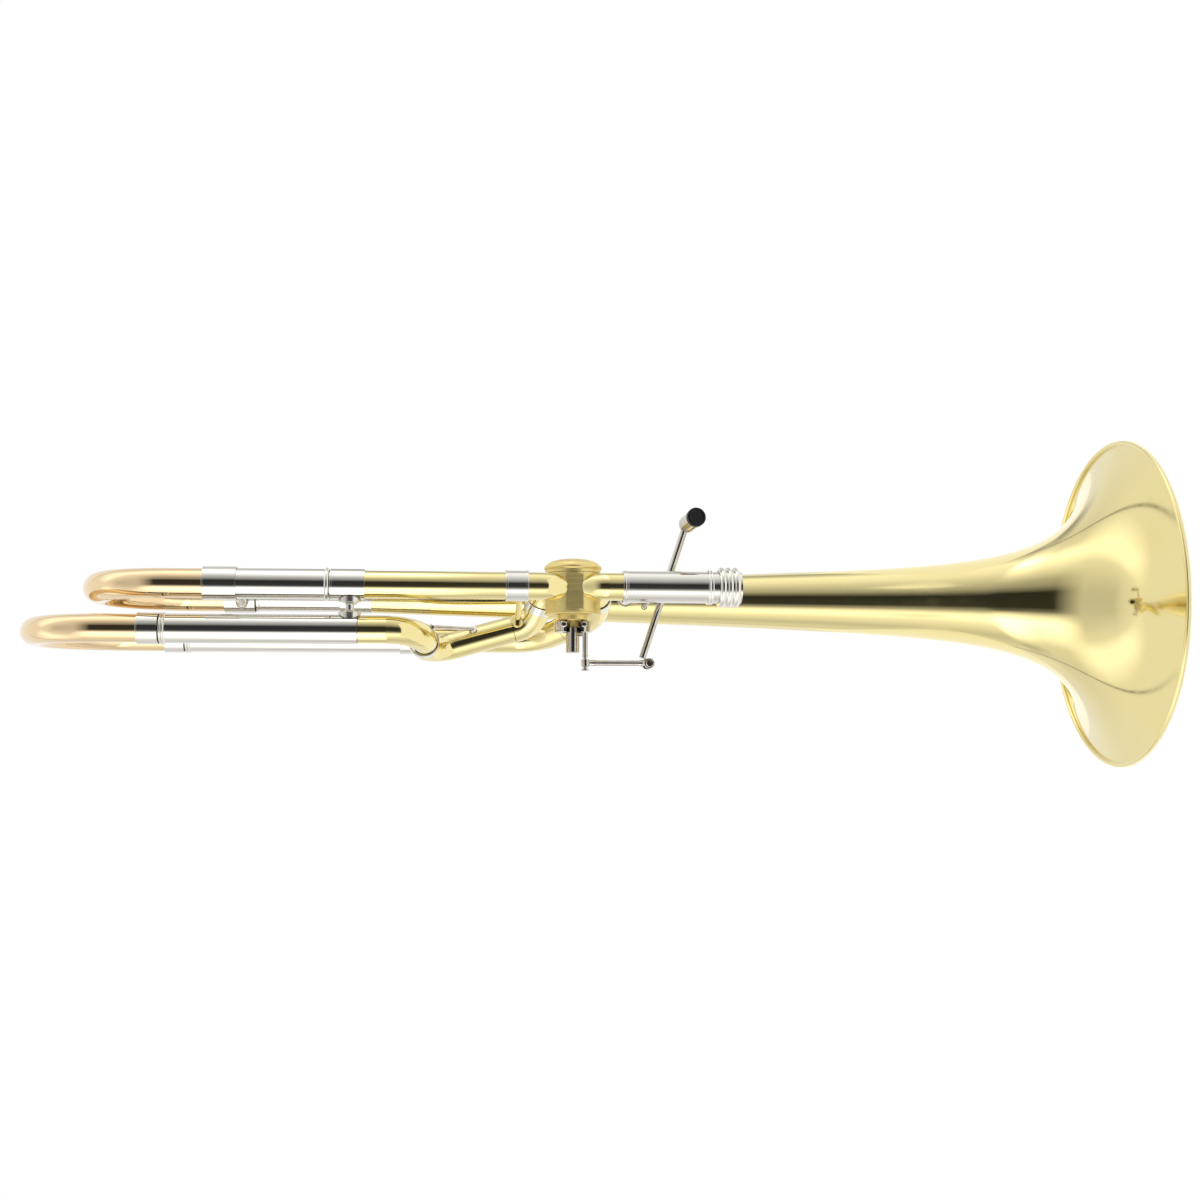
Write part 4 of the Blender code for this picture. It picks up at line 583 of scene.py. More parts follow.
class TROMBONE_OT_bell(bpy.types.Operator):
    """Spin the bell from its sheet, roll the rim over its wire and fit the tail ferrule."""
    bl_idname = "trombone.bell"
    bl_label = "Bell"

    def execute(self, context):
        sizes, tubes = context.scene.trombone_bell, context.scene.trombone_tubes

        def height_of(radius):
            low, high = 0, sizes.tail
            for _ in range(40):
                middle = (low + high) / 2
                low, high = (middle, high) if bell_radius(middle) > radius else (low, middle)
            return low

        bead = sizes.bead / 2
        first, last = sizes.mouth / 2 - 2 * bead - tubes.gap, bell_radius(sizes.tail)
        count = 64
        outer = []
        for i in range(count + 1):
            radius = last * (first / last) ** (1 - i / count)
            outer.append(Vector((radius, height_of(radius))))
        inner = []
        for i, point in enumerate(outer):
            along = outer[min(i + 1, count)] - outer[max(i - 1, 0)]
            square = Vector((-along.y, along.x)).normalized()
            inner.append(point + square * (sizes.wall if square.x < 0 else -sizes.wall))
        inner[-1].y = outer[-1].y
        neck = (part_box("main_outer_tube_far")[0].z - tubes.gap, upright("main_inner_tube_far")[3]
                + tubes.gap + tubes.wall)
        profile = [tuple(p) for p in outer] + [(neck[1], sizes.tail), neck[::-1]]
        profile += [(neck[1] - tubes.wall, neck[0])] + [tuple(p) for p in reversed(inner)]
        hand_over(turned("bell_spun", profile, (0, 0, 0), sides=BELL_SIDES), "bell")

        middle = sizes.mouth / 2 - bead
        flat = 0.0002
        wire = [(middle + bead * cos(a), bead - flat + bead * sin(a))
                for a in (radians(-60 + 300 * i / 20) for i in range(21))]
        hand_over(turned("bell_rim_rolled", wire, (0, 0, 0), sides=BELL_SIDES), "bell_rim_bead")
        sleeve("bell_tail_ferrule", [(0.0, 0.0012, 0.0002)])
        return {"FINISHED"}


class TROMBONE_OT_neck(bpy.types.Operator):
    """Turn the receiver with its rings and collar, and draw the neck tube."""
    bl_idname = "trombone.neck"
    bl_label = "Neck line"

    def execute(self, context):
        tubes = context.scene.trombone_tubes
        centre, foot, top, ring = upright("receiver_sleeve")
        bore, body, socket = 0.0076, RECEIVER, tubes.neck / 2 + tubes.gap
        low, high = foot + 0.0170, foot + 0.0202
        mid = (low + high) / 2
        profile = [(bore, foot), (body, foot), (body, low), (ring - 0.0002, low + 0.0001),
                   (ring, low + 0.0007), (ring - 0.0002, mid - 0.0001), (ring - 0.0005, mid),
                   (ring - 0.0002, mid + 0.0001), (ring, high - 0.0007),
                   (ring - 0.0002, high - 0.0001), (body, high), (body, top - 0.0028),
                   (0.0097, top - 0.0027), (0.0097, top - 0.0017), (0.0095, top - 0.0015),
                   (0.0097, top - 0.0013), (0.0097, top - 0.0001), (0.0096, top),
                   (socket, top), (socket, top - 0.0120), (bore, top - 0.0120)]
        hand_over(turned("receiver_turned", profile, centre, edge=0.0001), "receiver_sleeve")

        centre, foot, top, crest = upright("receiver_collar")
        inner, root, beads = body + tubes.gap, crest - 0.0010, 3
        pitch = (top - foot) / beads
        profile = [(inner, foot)]
        for i in range(beads):
            profile += [(root + (crest - root) * sin(pi * k / 8) ** 0.7,
                         foot + pitch * (i + 0.04 + 0.92 * k / 8)) for k in range(9)]
        profile += [(inner, top)]
        hand_over(turned("receiver_collar_turned", profile, centre), "receiver_collar")

        for node in ("neck_tube", "main_inner_tube_near"):
            slide_tube(node)
        sleeve("neck_ferrule", [(0.0004, 0.0013, 0.0002), (0.0121, 0.0130, 0.0002)])
        sleeve("main_fixed_ferrule_near", [(0.0185, 0.0194, 0.00015)])
        return {"FINISHED"}


def bow(node, base, foot, drop, near, far):
    """Bow bent from a leg, round half a circle and back, widening evenly."""
    tubes = bpy.context.scene.trombone_tubes
    radius = tubes.spacing / 2
    steps = 40
    ring = near / 2
    obj = start_ring(node + "_bent", at_neck(foot, drop), UP, ring, ROUND)
    advance(UP * (base - foot))
    centre = Vector((-drop, -radius, base))
    for i in range(1, steps + 1):
        swing(centre, (-1, 0, 0), pi / steps, 1)
        angle = pi - pi * i / steps
        here = centre + Vector((0, cos(angle), sin(angle))) * radius
        wide = (near + (far - near) * i / steps) / 2
        scale_ring(wide / ring, here)
        ring = wide
    advance(UP * (foot - base))
    close_mesh(False)
    return hand_over(give_wall(obj, tubes.wall), node)


class TROMBONE_OT_main_slide(bpy.types.Operator):
    """Draw the main tuning slide's tubes, turn its ferrules and bend its bow."""
    bl_idname = "trombone.main_slide"
    bl_label = "Main tuning slide"

    def execute(self, context):
        tubes = context.scene.trombone_tubes
        outer = upright("main_inner_tube_near")[3] + tubes.gap + tubes.wall
        slide_tube("main_outer_tube_near", False, 0.0028, outer)
        slide_tube("main_outer_tube_far", True, 0.0028, outer)
        slide_tube("main_inner_tube_far")
        for side in ("near", "far"):
            sleeve("main_bow_ferrule_" + side, [(0.0179, 0.0187, 0.00015)])
        low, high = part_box("main_bow")
        base = high.z - tubes.spacing / 2 - (tubes.near_bow + tubes.far_bow) / 4
        bow("main_bow", base, low.z, 0, tubes.near_bow, tubes.far_bow)
        aside, height = middle_of("main_slide_brace")
        near, far = (upright("main_bow_ferrule_" + side)[3] for side in ("near", "far"))
        brace("main_slide_brace", (at_neck(height, -aside), near),
              (at_bell(height, -aside), far), *THIN_BRACE)
        return {"FINISHED"}


class TROMBONE_OT_f_slide(bpy.types.Operator):
    """Draw the F tuning slide's tubes, turn its ferrules and bend its bow."""
    bl_idname = "trombone.f_slide"
    bl_label = "F tuning slide"

    def execute(self, context):
        tubes = context.scene.trombone_tubes
        inner = upright("f_inner_tube_near")[3]
        outer = inner + tubes.gap + tubes.wall
        for side in ("near", "far"):
            slide_tube("f_outer_tube_" + side, True, 0.0036, outer, 2)
            slide_tube("f_inner_tube_" + side)
            sleeve("f_bow_ferrule_" + side, [(0.0110, 0.0116, 0.00015)])
        low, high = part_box("f_bow")
        base = high.z - tubes.spacing / 2 - tubes.wrap / 2
        bow("f_bow", base, low.z, tubes.drop, tubes.wrap, tubes.wrap)
        height, radius = middle_of("f_slide_brace")[1], upright("f_bow_ferrule_near")[3]
        brace("f_slide_brace", (at_neck(height, tubes.drop), radius),
              (at_bell(height, tubes.drop), radius), *THIN_BRACE)
        return {"FINISHED"}


def valve_centre():
    sizes = bpy.context.scene.trombone_valve
    return at_neck(sizes.height) + Vector((0, sizes.setback, 0))


def port(height_sign, depth_sign):
    """Direction of a port of the valve."""
    return Vector((0, depth_sign, height_sign)).normalized()


def upper_corners():
    """Corners of the F tubing from the upper port to the near F tube."""
    tubes, valve = bpy.context.scene.trombone_tubes, bpy.context.scene.trombone_valve
    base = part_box("f_outer_tube_near")[0].z - tubes.gap / 2
    return [valve_centre() + port(1, 1) * (valve.casing / 2 - PORT_DEPTH),
            valve_centre() + port(1, 1) * PORT_REACH,
            Vector((-0.0195, 0.0430 - tubes.spacing, valve.height + 0.0230)),
            Vector((-0.0375, 0.0450 - tubes.spacing, base - 0.0377)),
            at_neck(base - 0.0377, tubes.drop), at_neck(base, tubes.drop)]


def lower_corners():
    """Corners of the F tubing from the lower port to the far F tube."""
    tubes, valve = bpy.context.scene.trombone_tubes, bpy.context.scene.trombone_valve
    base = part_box("f_outer_tube_far")[0].z - tubes.gap / 2
    return [valve_centre() + port(-1, 1) * (valve.casing / 2 - PORT_DEPTH),
            valve_centre() + port(-1, 1) * PORT_REACH,
            Vector((-0.0135, 0.0560 - tubes.spacing, valve.height - 0.0180)),
            at_bell(valve.height + 0.0160, tubes.drop), at_bell(base, tubes.drop)]


UPPER_BENDS = (0.0120, 0.0160, 0.0180, 0.0220)
LOWER_BENDS = (0.0120, 0.0340, 0.0340)


def run(corners, bends, i):
    """Ends and direction of the straight run from corner i to corner i + 1."""
    def reach(k):
        if k < 1 or k > len(corners) - 2:
            return 0
        return bend_at(corners[k - 1], corners[k], corners[k + 1], bends[k - 1])[0]
    way = (corners[i + 1] - corners[i]).normalized()
    return corners[i] + way * reach(i), corners[i + 1] - way * reach(i + 1), way


def seam(corners, bends, i):
    start, end, way = run(corners, bends, i)
    return (start + end) / 2, way


class TROMBONE_OT_f_wrap(bpy.types.Operator):
    """Bend the four knuckles and the F tubing round the valve, and fit their ferrules."""
    bl_idname = "trombone.f_wrap"
    bl_label = "F wrap"

    def execute(self, context):
        tubes, valve = context.scene.trombone_tubes, context.scene.trombone_valve
        centre = valve_centre()
        half = Vector((valve.casing, 0, 0))

        def knuckle(node, corners, bends, radius):
            obj = drawn_tube(node + "_bent", corners, bends, radius, tubes.wall)
            combine(obj, "DIFFERENCE", through(node + "_room", centre, half,
                                               valve.casing / 2 + 0.00005, ROUND))
            return hand_over(obj, node)

        ends = {1: upright("neck_tube")[1] - tubes.gap, -1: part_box("knuckle_neck_lower")[0].z}
        for side, sign in (("upper", 1), ("lower", -1)):
            corner = at_neck(valve.height + sign * valve.setback)
            knuckle("knuckle_neck_" + side,
                    [centre + port(sign, -1) * (valve.casing / 2 - PORT_DEPTH), corner,
                     at_neck(ends[sign])], [0.0172], tubes.neck / 2)

        radius, half_gap = tubes.wrap / 2, tubes.gap / 2
        upper, lower = upper_corners(), lower_corners()
        port_up, way_up = seam(upper, UPPER_BENDS, 1)
        port_low, way_low = seam(lower, LOWER_BENDS, 1)
        knuckle("knuckle_f_upper", [upper[0], upper[1], port_up - way_up * half_gap],
                [UPPER_BENDS[0]], tubes.neck / 2)
        knuckle("knuckle_f_lower", [lower[0], lower[1], port_low - way_low * half_gap],
                [LOWER_BENDS[0]], tubes.neck / 2)
        start, _, way = run(upper, UPPER_BENDS, 2)
        mid = start + way * 0.0026
        cross, cross_way = seam(upper, UPPER_BENDS, 3)
        joint, _ = seam(lower, LOWER_BENDS, 2)

        def bend(node, first, corner, last, bend_radius):
            into = (corner - first).normalized() * half_gap
            out = (last - corner).normalized() * half_gap
            hand_over(drawn_tube(node + "_bent", [first + into, corner, last - out],
                                 [bend_radius], radius, tubes.wall), node)

        bend("f_port_elbow", port_up, upper[2], mid, UPPER_BENDS[1])
        bend("f_cross_tube", mid, upper[3], cross, UPPER_BENDS[2])
        bend("f_near_elbow", cross, upper[4], upper[5], UPPER_BENDS[3])
        bend("f_crook", port_low, lower[2], joint, LOWER_BENDS[1])
        bend("f_return_tube", joint, lower[3], lower[4], LOWER_BENDS[2])

        for node, point, way, long in (
                ("f_port_ferrule_upper", port_up, way_up, 0.0050),
                ("f_port_ferrule_lower", port_low, way_low, 0.0050),
                ("f_cross_ferrule", cross, cross_way, 0.0046)):
            inner = radius + tubes.gap
            wide = inner + tubes.wall
            profile = [(inner, 0), (wide, 0), (wide, long), (inner, long)]
            hand_over(turned(node + "_turned", profile, point - way * long / 2, way,
                             edge=tubes.edge * 0.7), node)
        sleeve("f_return_ferrule", [(0.0004, 0.0013, 0.00015), (0.0167, 0.0176, 0.00015)])
        return {"FINISHED"}


class TROMBONE_OT_valve(bpy.types.Operator):
    """Turn the valve's casing and cap, and build the stop work on its foot."""
    bl_idname = "trombone.valve"
    bl_label = "Rotary valve"

    def execute(self, context):
        sizes = context.scene.trombone_valve
        centre, axis = valve_centre(), ALONG_X
        outer, bottom, top = sizes.casing / 2, -sizes.bottom, sizes.top
        lip = outer + 0.0006
        profile = [(0.0036, bottom - 0.0036), (0.0078, bottom - 0.0036),
                   (0.0088, bottom - 0.0030), (0.0090, bottom - 0.0012), (0.0090, bottom),
                   (lip - 0.0003, bottom), (lip, bottom + 0.0003), (lip, bottom + 0.0009),
                   (lip - 0.0003, bottom + 0.0012), (outer, bottom + 0.0013), (outer, top),
                   (0.0152, top), (0.0152, top + 0.0046), (0.0140, top + 0.0046),
                   (0.0140, bottom + 0.0032), (0.0036, bottom + 0.0032)]
        casing = turned("valve_casing_turned", profile, centre, axis, VALVE_SIDES, 0.00012)
        for i, sign in enumerate((1, -1)):
            way = port(sign, 1) * (outer + 0.004)
            combine(casing, "DIFFERENCE", through(f"port_{i}", centre, way, 0.0069))
        face = centre.y - sqrt(outer ** 2 - (sizes.flat / 2) ** 2)
        combine(casing, "DIFFERENCE",
                block("flat_cut", (bottom + 0.0029, face - 0.004, centre.z - outer),
                      (top - 0.0012, face, centre.z + outer), 0))
        hand_over(casing, "valve_casing", "brushed_valve_brass")

        foot, wide = top + CLEAR, sizes.cap / 2
        high = foot + 0.0078
        skirt = wide - 0.0007
        rim, bead = foot + 0.0031, 0.0013
        profile = [(POLE, high - 0.0022), (0.0128, high - 0.0022), (0.0155, rim - 0.0004),
                   (0.0155, foot), (skirt, foot), (skirt, rim - bead - 0.0002)]
        profile += [(wide - bead * 0.7 + bead * 0.7 * cos(a), rim + bead * sin(a))
                    for a in (radians(-80 + 150 * i / 10) for i in range(11))]
        dome = wide - bead * 0.9
        profile += [(dome * cos(a),
                     rim + bead * 0.86 + (high + 0.0009 - rim - bead * 0.86) * sin(a))
                    for a in (pi / 2 * i / 14 for i in range(1, 15))]
        hand_over(turned("valve_cap_turned", profile, centre, axis, VALVE_SIDES), "valve_cap",
                  "brushed_valve_brass")
        self.stop_work(context, centre)
        return {"FINISHED"}

    def stop_work(self, context, centre):
        """Housing with its two bumpers and screws, and the arm on the rotor's stub."""
        sizes, drop = context.scene.trombone_valve, context.scene.trombone_lever.drop
        axis = ALONG_X
        low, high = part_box("stop_housing")
        outer = sizes.housing / 2
        profile = [(0.0064, low.x), (outer, low.x), (outer, high.x), (0.0064, high.x)]
        housing = turned("stop_housing_milled", profile, (0, centre.y, centre.z), axis,
                         HOUSING_SIDES, 0.0003)
        face = low.y
        combine(housing, "DIFFERENCE",
                block("face_cut", (low.x - 0.004, face - 0.006, centre.z - outer),
                      (high.x + 0.004, face, centre.z + outer), 0),
                block("window_cut", (low.x - 0.004, face - 0.006, centre.z - 0.0042),
                      (high.x + 0.004, centre.y, centre.z + 0.0042), 0))
        for i in (1, 2):
            lo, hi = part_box(f"stop_bumper_{i}")
            line = Vector(((lo.x + hi.x) / 2, 0, (lo.z + hi.z) / 2))
            front, tip = line + Vector((0, lo.y, 0)), line + Vector((0, hi.y, 0))
            radius = (hi.x - lo.x) / 2
            combine(housing, "DIFFERENCE", rod("bumper_room", front - Vector((0, 0.004, 0)),
                                               tip + Vector((0, CLEAR, 0)),
                                               radius + CLEAR, SLIM, 0))
            hand_over(rod(f"stop_bumper_{i}_moulded", front, tip, radius, SLIM, 0.0003),
                      f"stop_bumper_{i}")
            lo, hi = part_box(f"stop_screw_{i}")
            head, wide = (hi.y - lo.y), (hi.x - lo.x) / 2
            profile = [(POLE, 0), (wide, 0), (wide, head * 0.45), (wide * 0.93, head * 0.75),
                       (wide * 0.7, head * 0.94), (POLE, head)]
            screw = turned(f"stop_screw_{i}_turned", profile, line + Vector((0, hi.y, 0)),
                           (0, -1, 0), SLIM)
            combine(screw, "DIFFERENCE",
                    block("slot", (line.x - HALF_SLOT, lo.y - 0.0003, line.z - wide - 0.001),
                          (line.x + HALF_SLOT, lo.y + head * 0.55, line.z + wide + 0.001), 0))
            hand_over(screw, f"stop_screw_{i}", "tumbled_nickel_silver_painted_shade")
        hand_over(housing, "stop_housing", "tumbled_nickel_silver_painted_shade")

        hub, crank_top = sizes.hub / 2, low.x - CLEAR
        hub_top = high.x - CLEAR - HUB_RING - CLEAR
        foot = hub_top - HUB_LONG
        bore, floor = 0.0022, hub_top - HUB_BORE
        profile = [(0.0009, foot), (hub - 0.0004, foot), (hub, foot + 0.0004), (hub, hub_top),
                   (bore, hub_top), (bore, floor), (0.0009, floor)]
        arm = turned("stop_arm_milled", profile, (0, centre.y, centre.z), axis, ROUND, 0.0001)
        combine(arm, "UNION",
                block("web", (crank_top - 0.0024, centre.y - sizes.crank, centre.z - 0.0018),
                      (crank_top, centre.y - hub + 0.0003, centre.z + 0.0018), 0.0003,
                      pi / 4, centre))
        offset = sizes.crank / sqrt(2)
        post, pin, nut, room = 0.0017, 0.0012, 0.0022, 0.0033
        shoulder, seat = -drop + room, -drop - room
        steps = [(POLE, seat - 0.0012), (nut - 0.0003, seat - 0.0012), (nut, seat - 0.0009),
                 (nut, seat - 0.0002), (nut - 0.0002, seat), (pin, seat), (pin, shoulder),
                 (post, shoulder), (post, shoulder + 0.0016), (post - 0.0002, shoulder + 0.0018),
                 (post - 0.0002, crank_top), (POLE, crank_top)]
        combine(arm, "UNION", turned("post", steps, (0, centre.y - offset, centre.z - offset),
                                     axis, SLIM))
        hand_over(arm, "stop_arm", "tumbled_nickel_silver_painted_shade")


class TROMBONE_OT_lever(bpy.types.Operator):
    """Build the thumb lever, its saddle and spring, and the link to the stop arm."""
    bl_idname = "trombone.lever"
    bl_label = "Thumb lever"

    def execute(self, context):
        sizes, valve = context.scene.trombone_lever, context.scene.trombone_valve
        tubes = context.scene.trombone_tubes
        pivot = Vector((-0.0030, 0.0170 - tubes.spacing, valve.height - 0.0492))
        offset = valve.crank / sqrt(2)
        link_y = valve_centre().y - offset - (valve.crank - offset) / 2
        ball = Vector((-sizes.drop, link_y, pivot.z + 0.0047))
        near = pivot + Vector((0.0450, -0.0180, -0.0231))
        far = pivot + Vector((0.0425, 0.0020, -0.0196))
        lean = radians(18.3)
        up = Vector((cos(lean), 0, -sin(lean)))
        aside = Vector((-sin(lean), 0, -cos(lean)))
        foot = pivot + aside * ROD_ASIDE
        low, high = foot - up * 0.0385, foot + up * (far - foot).dot(up)
        self.lever(low, high, pivot, ball, near, far)
        self.thumb(near, far)
        self.link(ball, valve_centre().z - offset, link_y)
        self.saddle(pivot, tubes)
        self.spring(pivot, up, aside, tubes)
        return {"FINISHED"}

    def lever(self, low, high, pivot, ball, near, far):
        """Straight rod with its hub, the foot disc and the stud in the link's eye."""
        radius = bpy.context.scene.trombone_lever.rod / 2
        obj = rod("thumb_lever_brazed", low, high, radius, SLIM, 0.0002)
        foot = Vector((ball.x, pivot.y, ball.z))
        reach, head = pivot.y - ball.y + 0.0017 + CLEAR, 0.0011
        stud = [(POLE, 0), (0.0014, 0), (0.0014, reach), (0.0021, reach), (0.0023, reach + 0.0002),
                (0.0023, reach + head * 0.6), (0.0019, reach + head), (0.0009, reach + head),
                (0.0008, reach + head * 0.6), (POLE, reach + head * 0.6)]
        combine(obj, "UNION",
                through("hub", pivot, ALONG_Y * HALF_HUB, 0.0042, ROUND, 0.0003),
                through("disc", foot, ALONG_Y * radius, 0.0033, SLIM, 0.0003),
                turned("stud", stud, foot, -ALONG_Y, SLIM))
        way = (far - near).normalized() * 0.004
        combine(obj, "DIFFERENCE",
                through("bore", pivot, ALONG_Y * 0.005, 0.0025),
                rod("thumb_room", near - way, far + way, 0.0053 + 0.0001, ROUND, 0))
        hand_over(obj, "thumb_lever", "tumbled_nickel_silver_painted_shade")

    def thumb(self, near, far):
        """Barrel with a rounded far end, and the black cap pressed on its near end."""
        way, long = (far - near).normalized(), (far - near).length
        radius = bpy.context.scene.trombone_lever.barrel / 2
        body = long - CAP_LONG - CLEAR
        profile = [(POLE, 0), (radius, 0), (radius, body - 0.0022)]
        profile += [(radius - 0.0020 * (1 - cos(a)), body - 0.0022 + 0.0022 * sin(a))
                    for a in (pi / 2 * i / 6 for i in range(1, 7))]
        profile += [(POLE, body)]
        barrel = turned("thumb_barrel_turned", profile, near + way * (CAP_LONG + CLEAR), way,
                        ROUND, 0.0001)
        hand_over(barrel, "thumb_barrel", "tumbled_nickel_silver_painted_shade")
        wide = 0.0057
        cap = [(POLE, 0.0003), (wide * 0.70, 0.0003), (wide * 0.78, 0), (wide - 0.0007, 0),
               (wide - 0.0002, 0.0002), (wide, 0.0008), (wide, CAP_LONG), (POLE, CAP_LONG)]
        hand_over(turned("thumb_cap_moulded", cap, near, way, ROUND, 0.0001), "thumb_cap")

    def link(self, ball, crank_height, link_y):
        """Link rod with a round eye and a slotted one."""
        radius = bpy.context.scene.trombone_lever.link / 2
        eye = Vector((ball.x, link_y, crank_height))
        collar = [(POLE, 0.0012), (radius * 0.82, 0.0012), (radius * 0.82, 0.0034),
                  (radius, 0.0040), (radius, 0.0058), (radius * 0.86, 0.0062)]
        span = eye.z - ball.z
        profile = collar + [(r, span - z) for r, z in reversed(collar)]
        obj = turned("link_rod_turned", profile, ball, UP, SLIM)
        slot_wide, slot_long = 0.0038, max(0.0024 + bpy.context.scene.trombone_valve.crank
                                           * (1 - 1 / sqrt(2)) + 0.0010, 0.0041)

        def oblong(name, wide, long, tall, edge):
            """Rod whose round section is pulled out along Y, between two of its sides."""
            side = Vector((tall / 2, 0, 0))
            piece = through(name, eye, side, wide / 2)
            bpy.ops.transform.rotate(value=pi / SLIM, orient_axis="X", center_override=tuple(eye))
            settle(name)
            for sign in (-1, 1):
                bpy.ops.object.mode_set(mode="EDIT")
                bpy.ops.mesh.select_mode(type="VERT")
                bpy.ops.mesh.select_all(action="DESELECT")
                bpy.ops.object.mode_set(mode="OBJECT")
                for vertex in piece.data.vertices:
                    vertex.select = (vertex.co.y - eye.y) * sign > 0
                bpy.ops.object.mode_set(mode="EDIT")
                bpy.ops.transform.translate(value=(0, sign * (long - wide) / 2, 0))
                bpy.ops.object.mode_set(mode="OBJECT")
            return round_edges(piece, edge)

        combine(obj, "UNION",
                through("eye", ball, ALONG_Y * 0.0017, 0.0030, ROUND, 0.0004),
                oblong("pin_eye", slot_wide + 0.0012, slot_long + 0.0012, 0.0042, 0.0003))
        combine(obj, "DIFFERENCE",
                through("eye_bore", ball, ALONG_Y * 0.004, 0.0017),
                oblong("slot", slot_wide, slot_long, 0.0084, 0))
        hand_over(obj, "link_rod", "tumbled_nickel_silver_painted_shade")

    def saddle(self, pivot, tubes):
        """Saddle on the receiver, with the post, the spring's pin and the pivot screw."""
        wall = RECEIVER + tubes.gap
        neck = -tubes.spacing
        half_wide, half_long, thick = 0.0055, 0.0048, SADDLE_THICK
        obj = block("lever_saddle_milled", (pivot.x - half_wide, neck, pivot.z - half_long),
                    (pivot.x + half_wide, neck + wall + thick, pivot.z + half_long), 0.0005)
        end = pivot.y + HALF_HUB + tubes.gap
        anchor = Vector((pivot.x + PIN_X, neck + wall, pivot.z + PIN_Z))
        pad = Vector((pivot.x - half_wide + thick, anchor.y, pivot.z + half_long - thick))
        combine(obj, "UNION",
                rod("post", (pivot.x, neck + wall, pivot.z), (pivot.x, end, pivot.z), 0.0022))
        axis_low, axis_high = at_neck(pivot.z - 0.010), at_neck(pivot.z + 0.010)
        combine(obj, "DIFFERENCE", rod("receiver_room", axis_low, axis_high, wall, ROUND, 0))
        combine(obj, "UNION",
                rod("arm", pad, anchor + (anchor - pad).normalized() * PIN_RADIUS, PIN_RADIUS,
                    24, 0),
                rod("pin", anchor, anchor + Vector((0, 2 * thick, 0)), PIN_RADIUS, 24, 0.0002))
        combine(obj, "DIFFERENCE", rod("receiver_room_2", axis_low, axis_high, wall - 0.0001,
                                       ROUND, 0))
        combine(obj, "DIFFERENCE", rod("screw_room", (pivot.x, end - 0.0048, pivot.z),
                                       (pivot.x, end + 0.001, pivot.z), 0.0013, 24, 0))
        hand_over(obj, "lever_saddle", "tumbled_nickel_silver_painted_shade")
        seat, top = pivot.y + HALF_HUB + 2 * tubes.gap, 0.0014
        profile = [(POLE, -0.0045), (0.0010, -0.0045), (0.0010, 0), (0.0034, 0),
                   (0.0034, top * 0.5), (0.0031, top * 0.8), (0.0022, top), (POLE, top)]
        screw = turned("lever_pivot_screw_turned", profile, (pivot.x, seat, pivot.z),
                       ALONG_Y, SLIM)
        combine(screw, "DIFFERENCE",
                block("slot", (pivot.x - HALF_SLOT, seat + top / 2, pivot.z - 0.005),
                      (pivot.x + HALF_SLOT, seat + top + 0.001, pivot.z + 0.005), 0))
        hand_over(screw, "lever_pivot_screw", "tumbled_nickel_silver_painted_shade")

    def spring(self, pivot, up, aside, tubes):
        """Return spring of round wire: hook, turns and the leg behind the lever's rod."""
        wire = bpy.context.scene.trombone_lever.wire
        radius = (0.0070 - wire) / 2
        first = -tubes.spacing + RECEIVER + SADDLE_THICK + 2 * tubes.gap + wire / 2
        last = pivot.y - HALF_HUB - tubes.gap - wire / 2
        per_turn, coil = 28, []
        count = 2 * per_turn
        for i in range(count + 1):
            angle = -2 * pi * i / per_turn
            point = pivot + (-aside * cos(angle) - up * sin(angle)) * radius
            coil.append(Vector((point.x, first + (last - first) * i / count, point.z)))
        clear = bpy.context.scene.trombone_lever.rod / 2 + tubes.gap + wire / 2
        over = pivot + aside * (ROD_ASIDE - clear) + up * 0.0120
        over.y = last
        pin = Vector((pivot.x + PIN_X, first, pivot.z + PIN_Z))
        leg = (pin - coil[0]).normalized()
        hook = Vector((-leg.z, 0, leg.x)) * -(PIN_RADIUS + tubes.gap + wire / 2)
        curl = [pin + Matrix.Rotation(-radians(200) * i / 14, 3, "Y") @ hook for i in range(15)]
        points = curl[::-1] + coil + [over, over + Vector((0, 0.0042, 0))]
        curve = bpy.data.curves.new("lever_spring_wound", "CURVE")
        curve.dimensions = "3D"
        curve.bevel_depth = wire / 2
        curve.bevel_resolution = 3
        curve.use_fill_caps = True
        line = curve.splines.new("POLY")
        line.points.add(len(points) - 1)
        for target, point in zip(line.points, points):
            target.co = (*point, 1)
        obj = bpy.data.objects.new("lever_spring_wound", curve)
        bpy.context.scene.collection.objects.link(obj)
        select_only(obj)
        bpy.ops.object.convert(target="MESH")
        hand_over(bpy.context.active_object, "lever_spring")


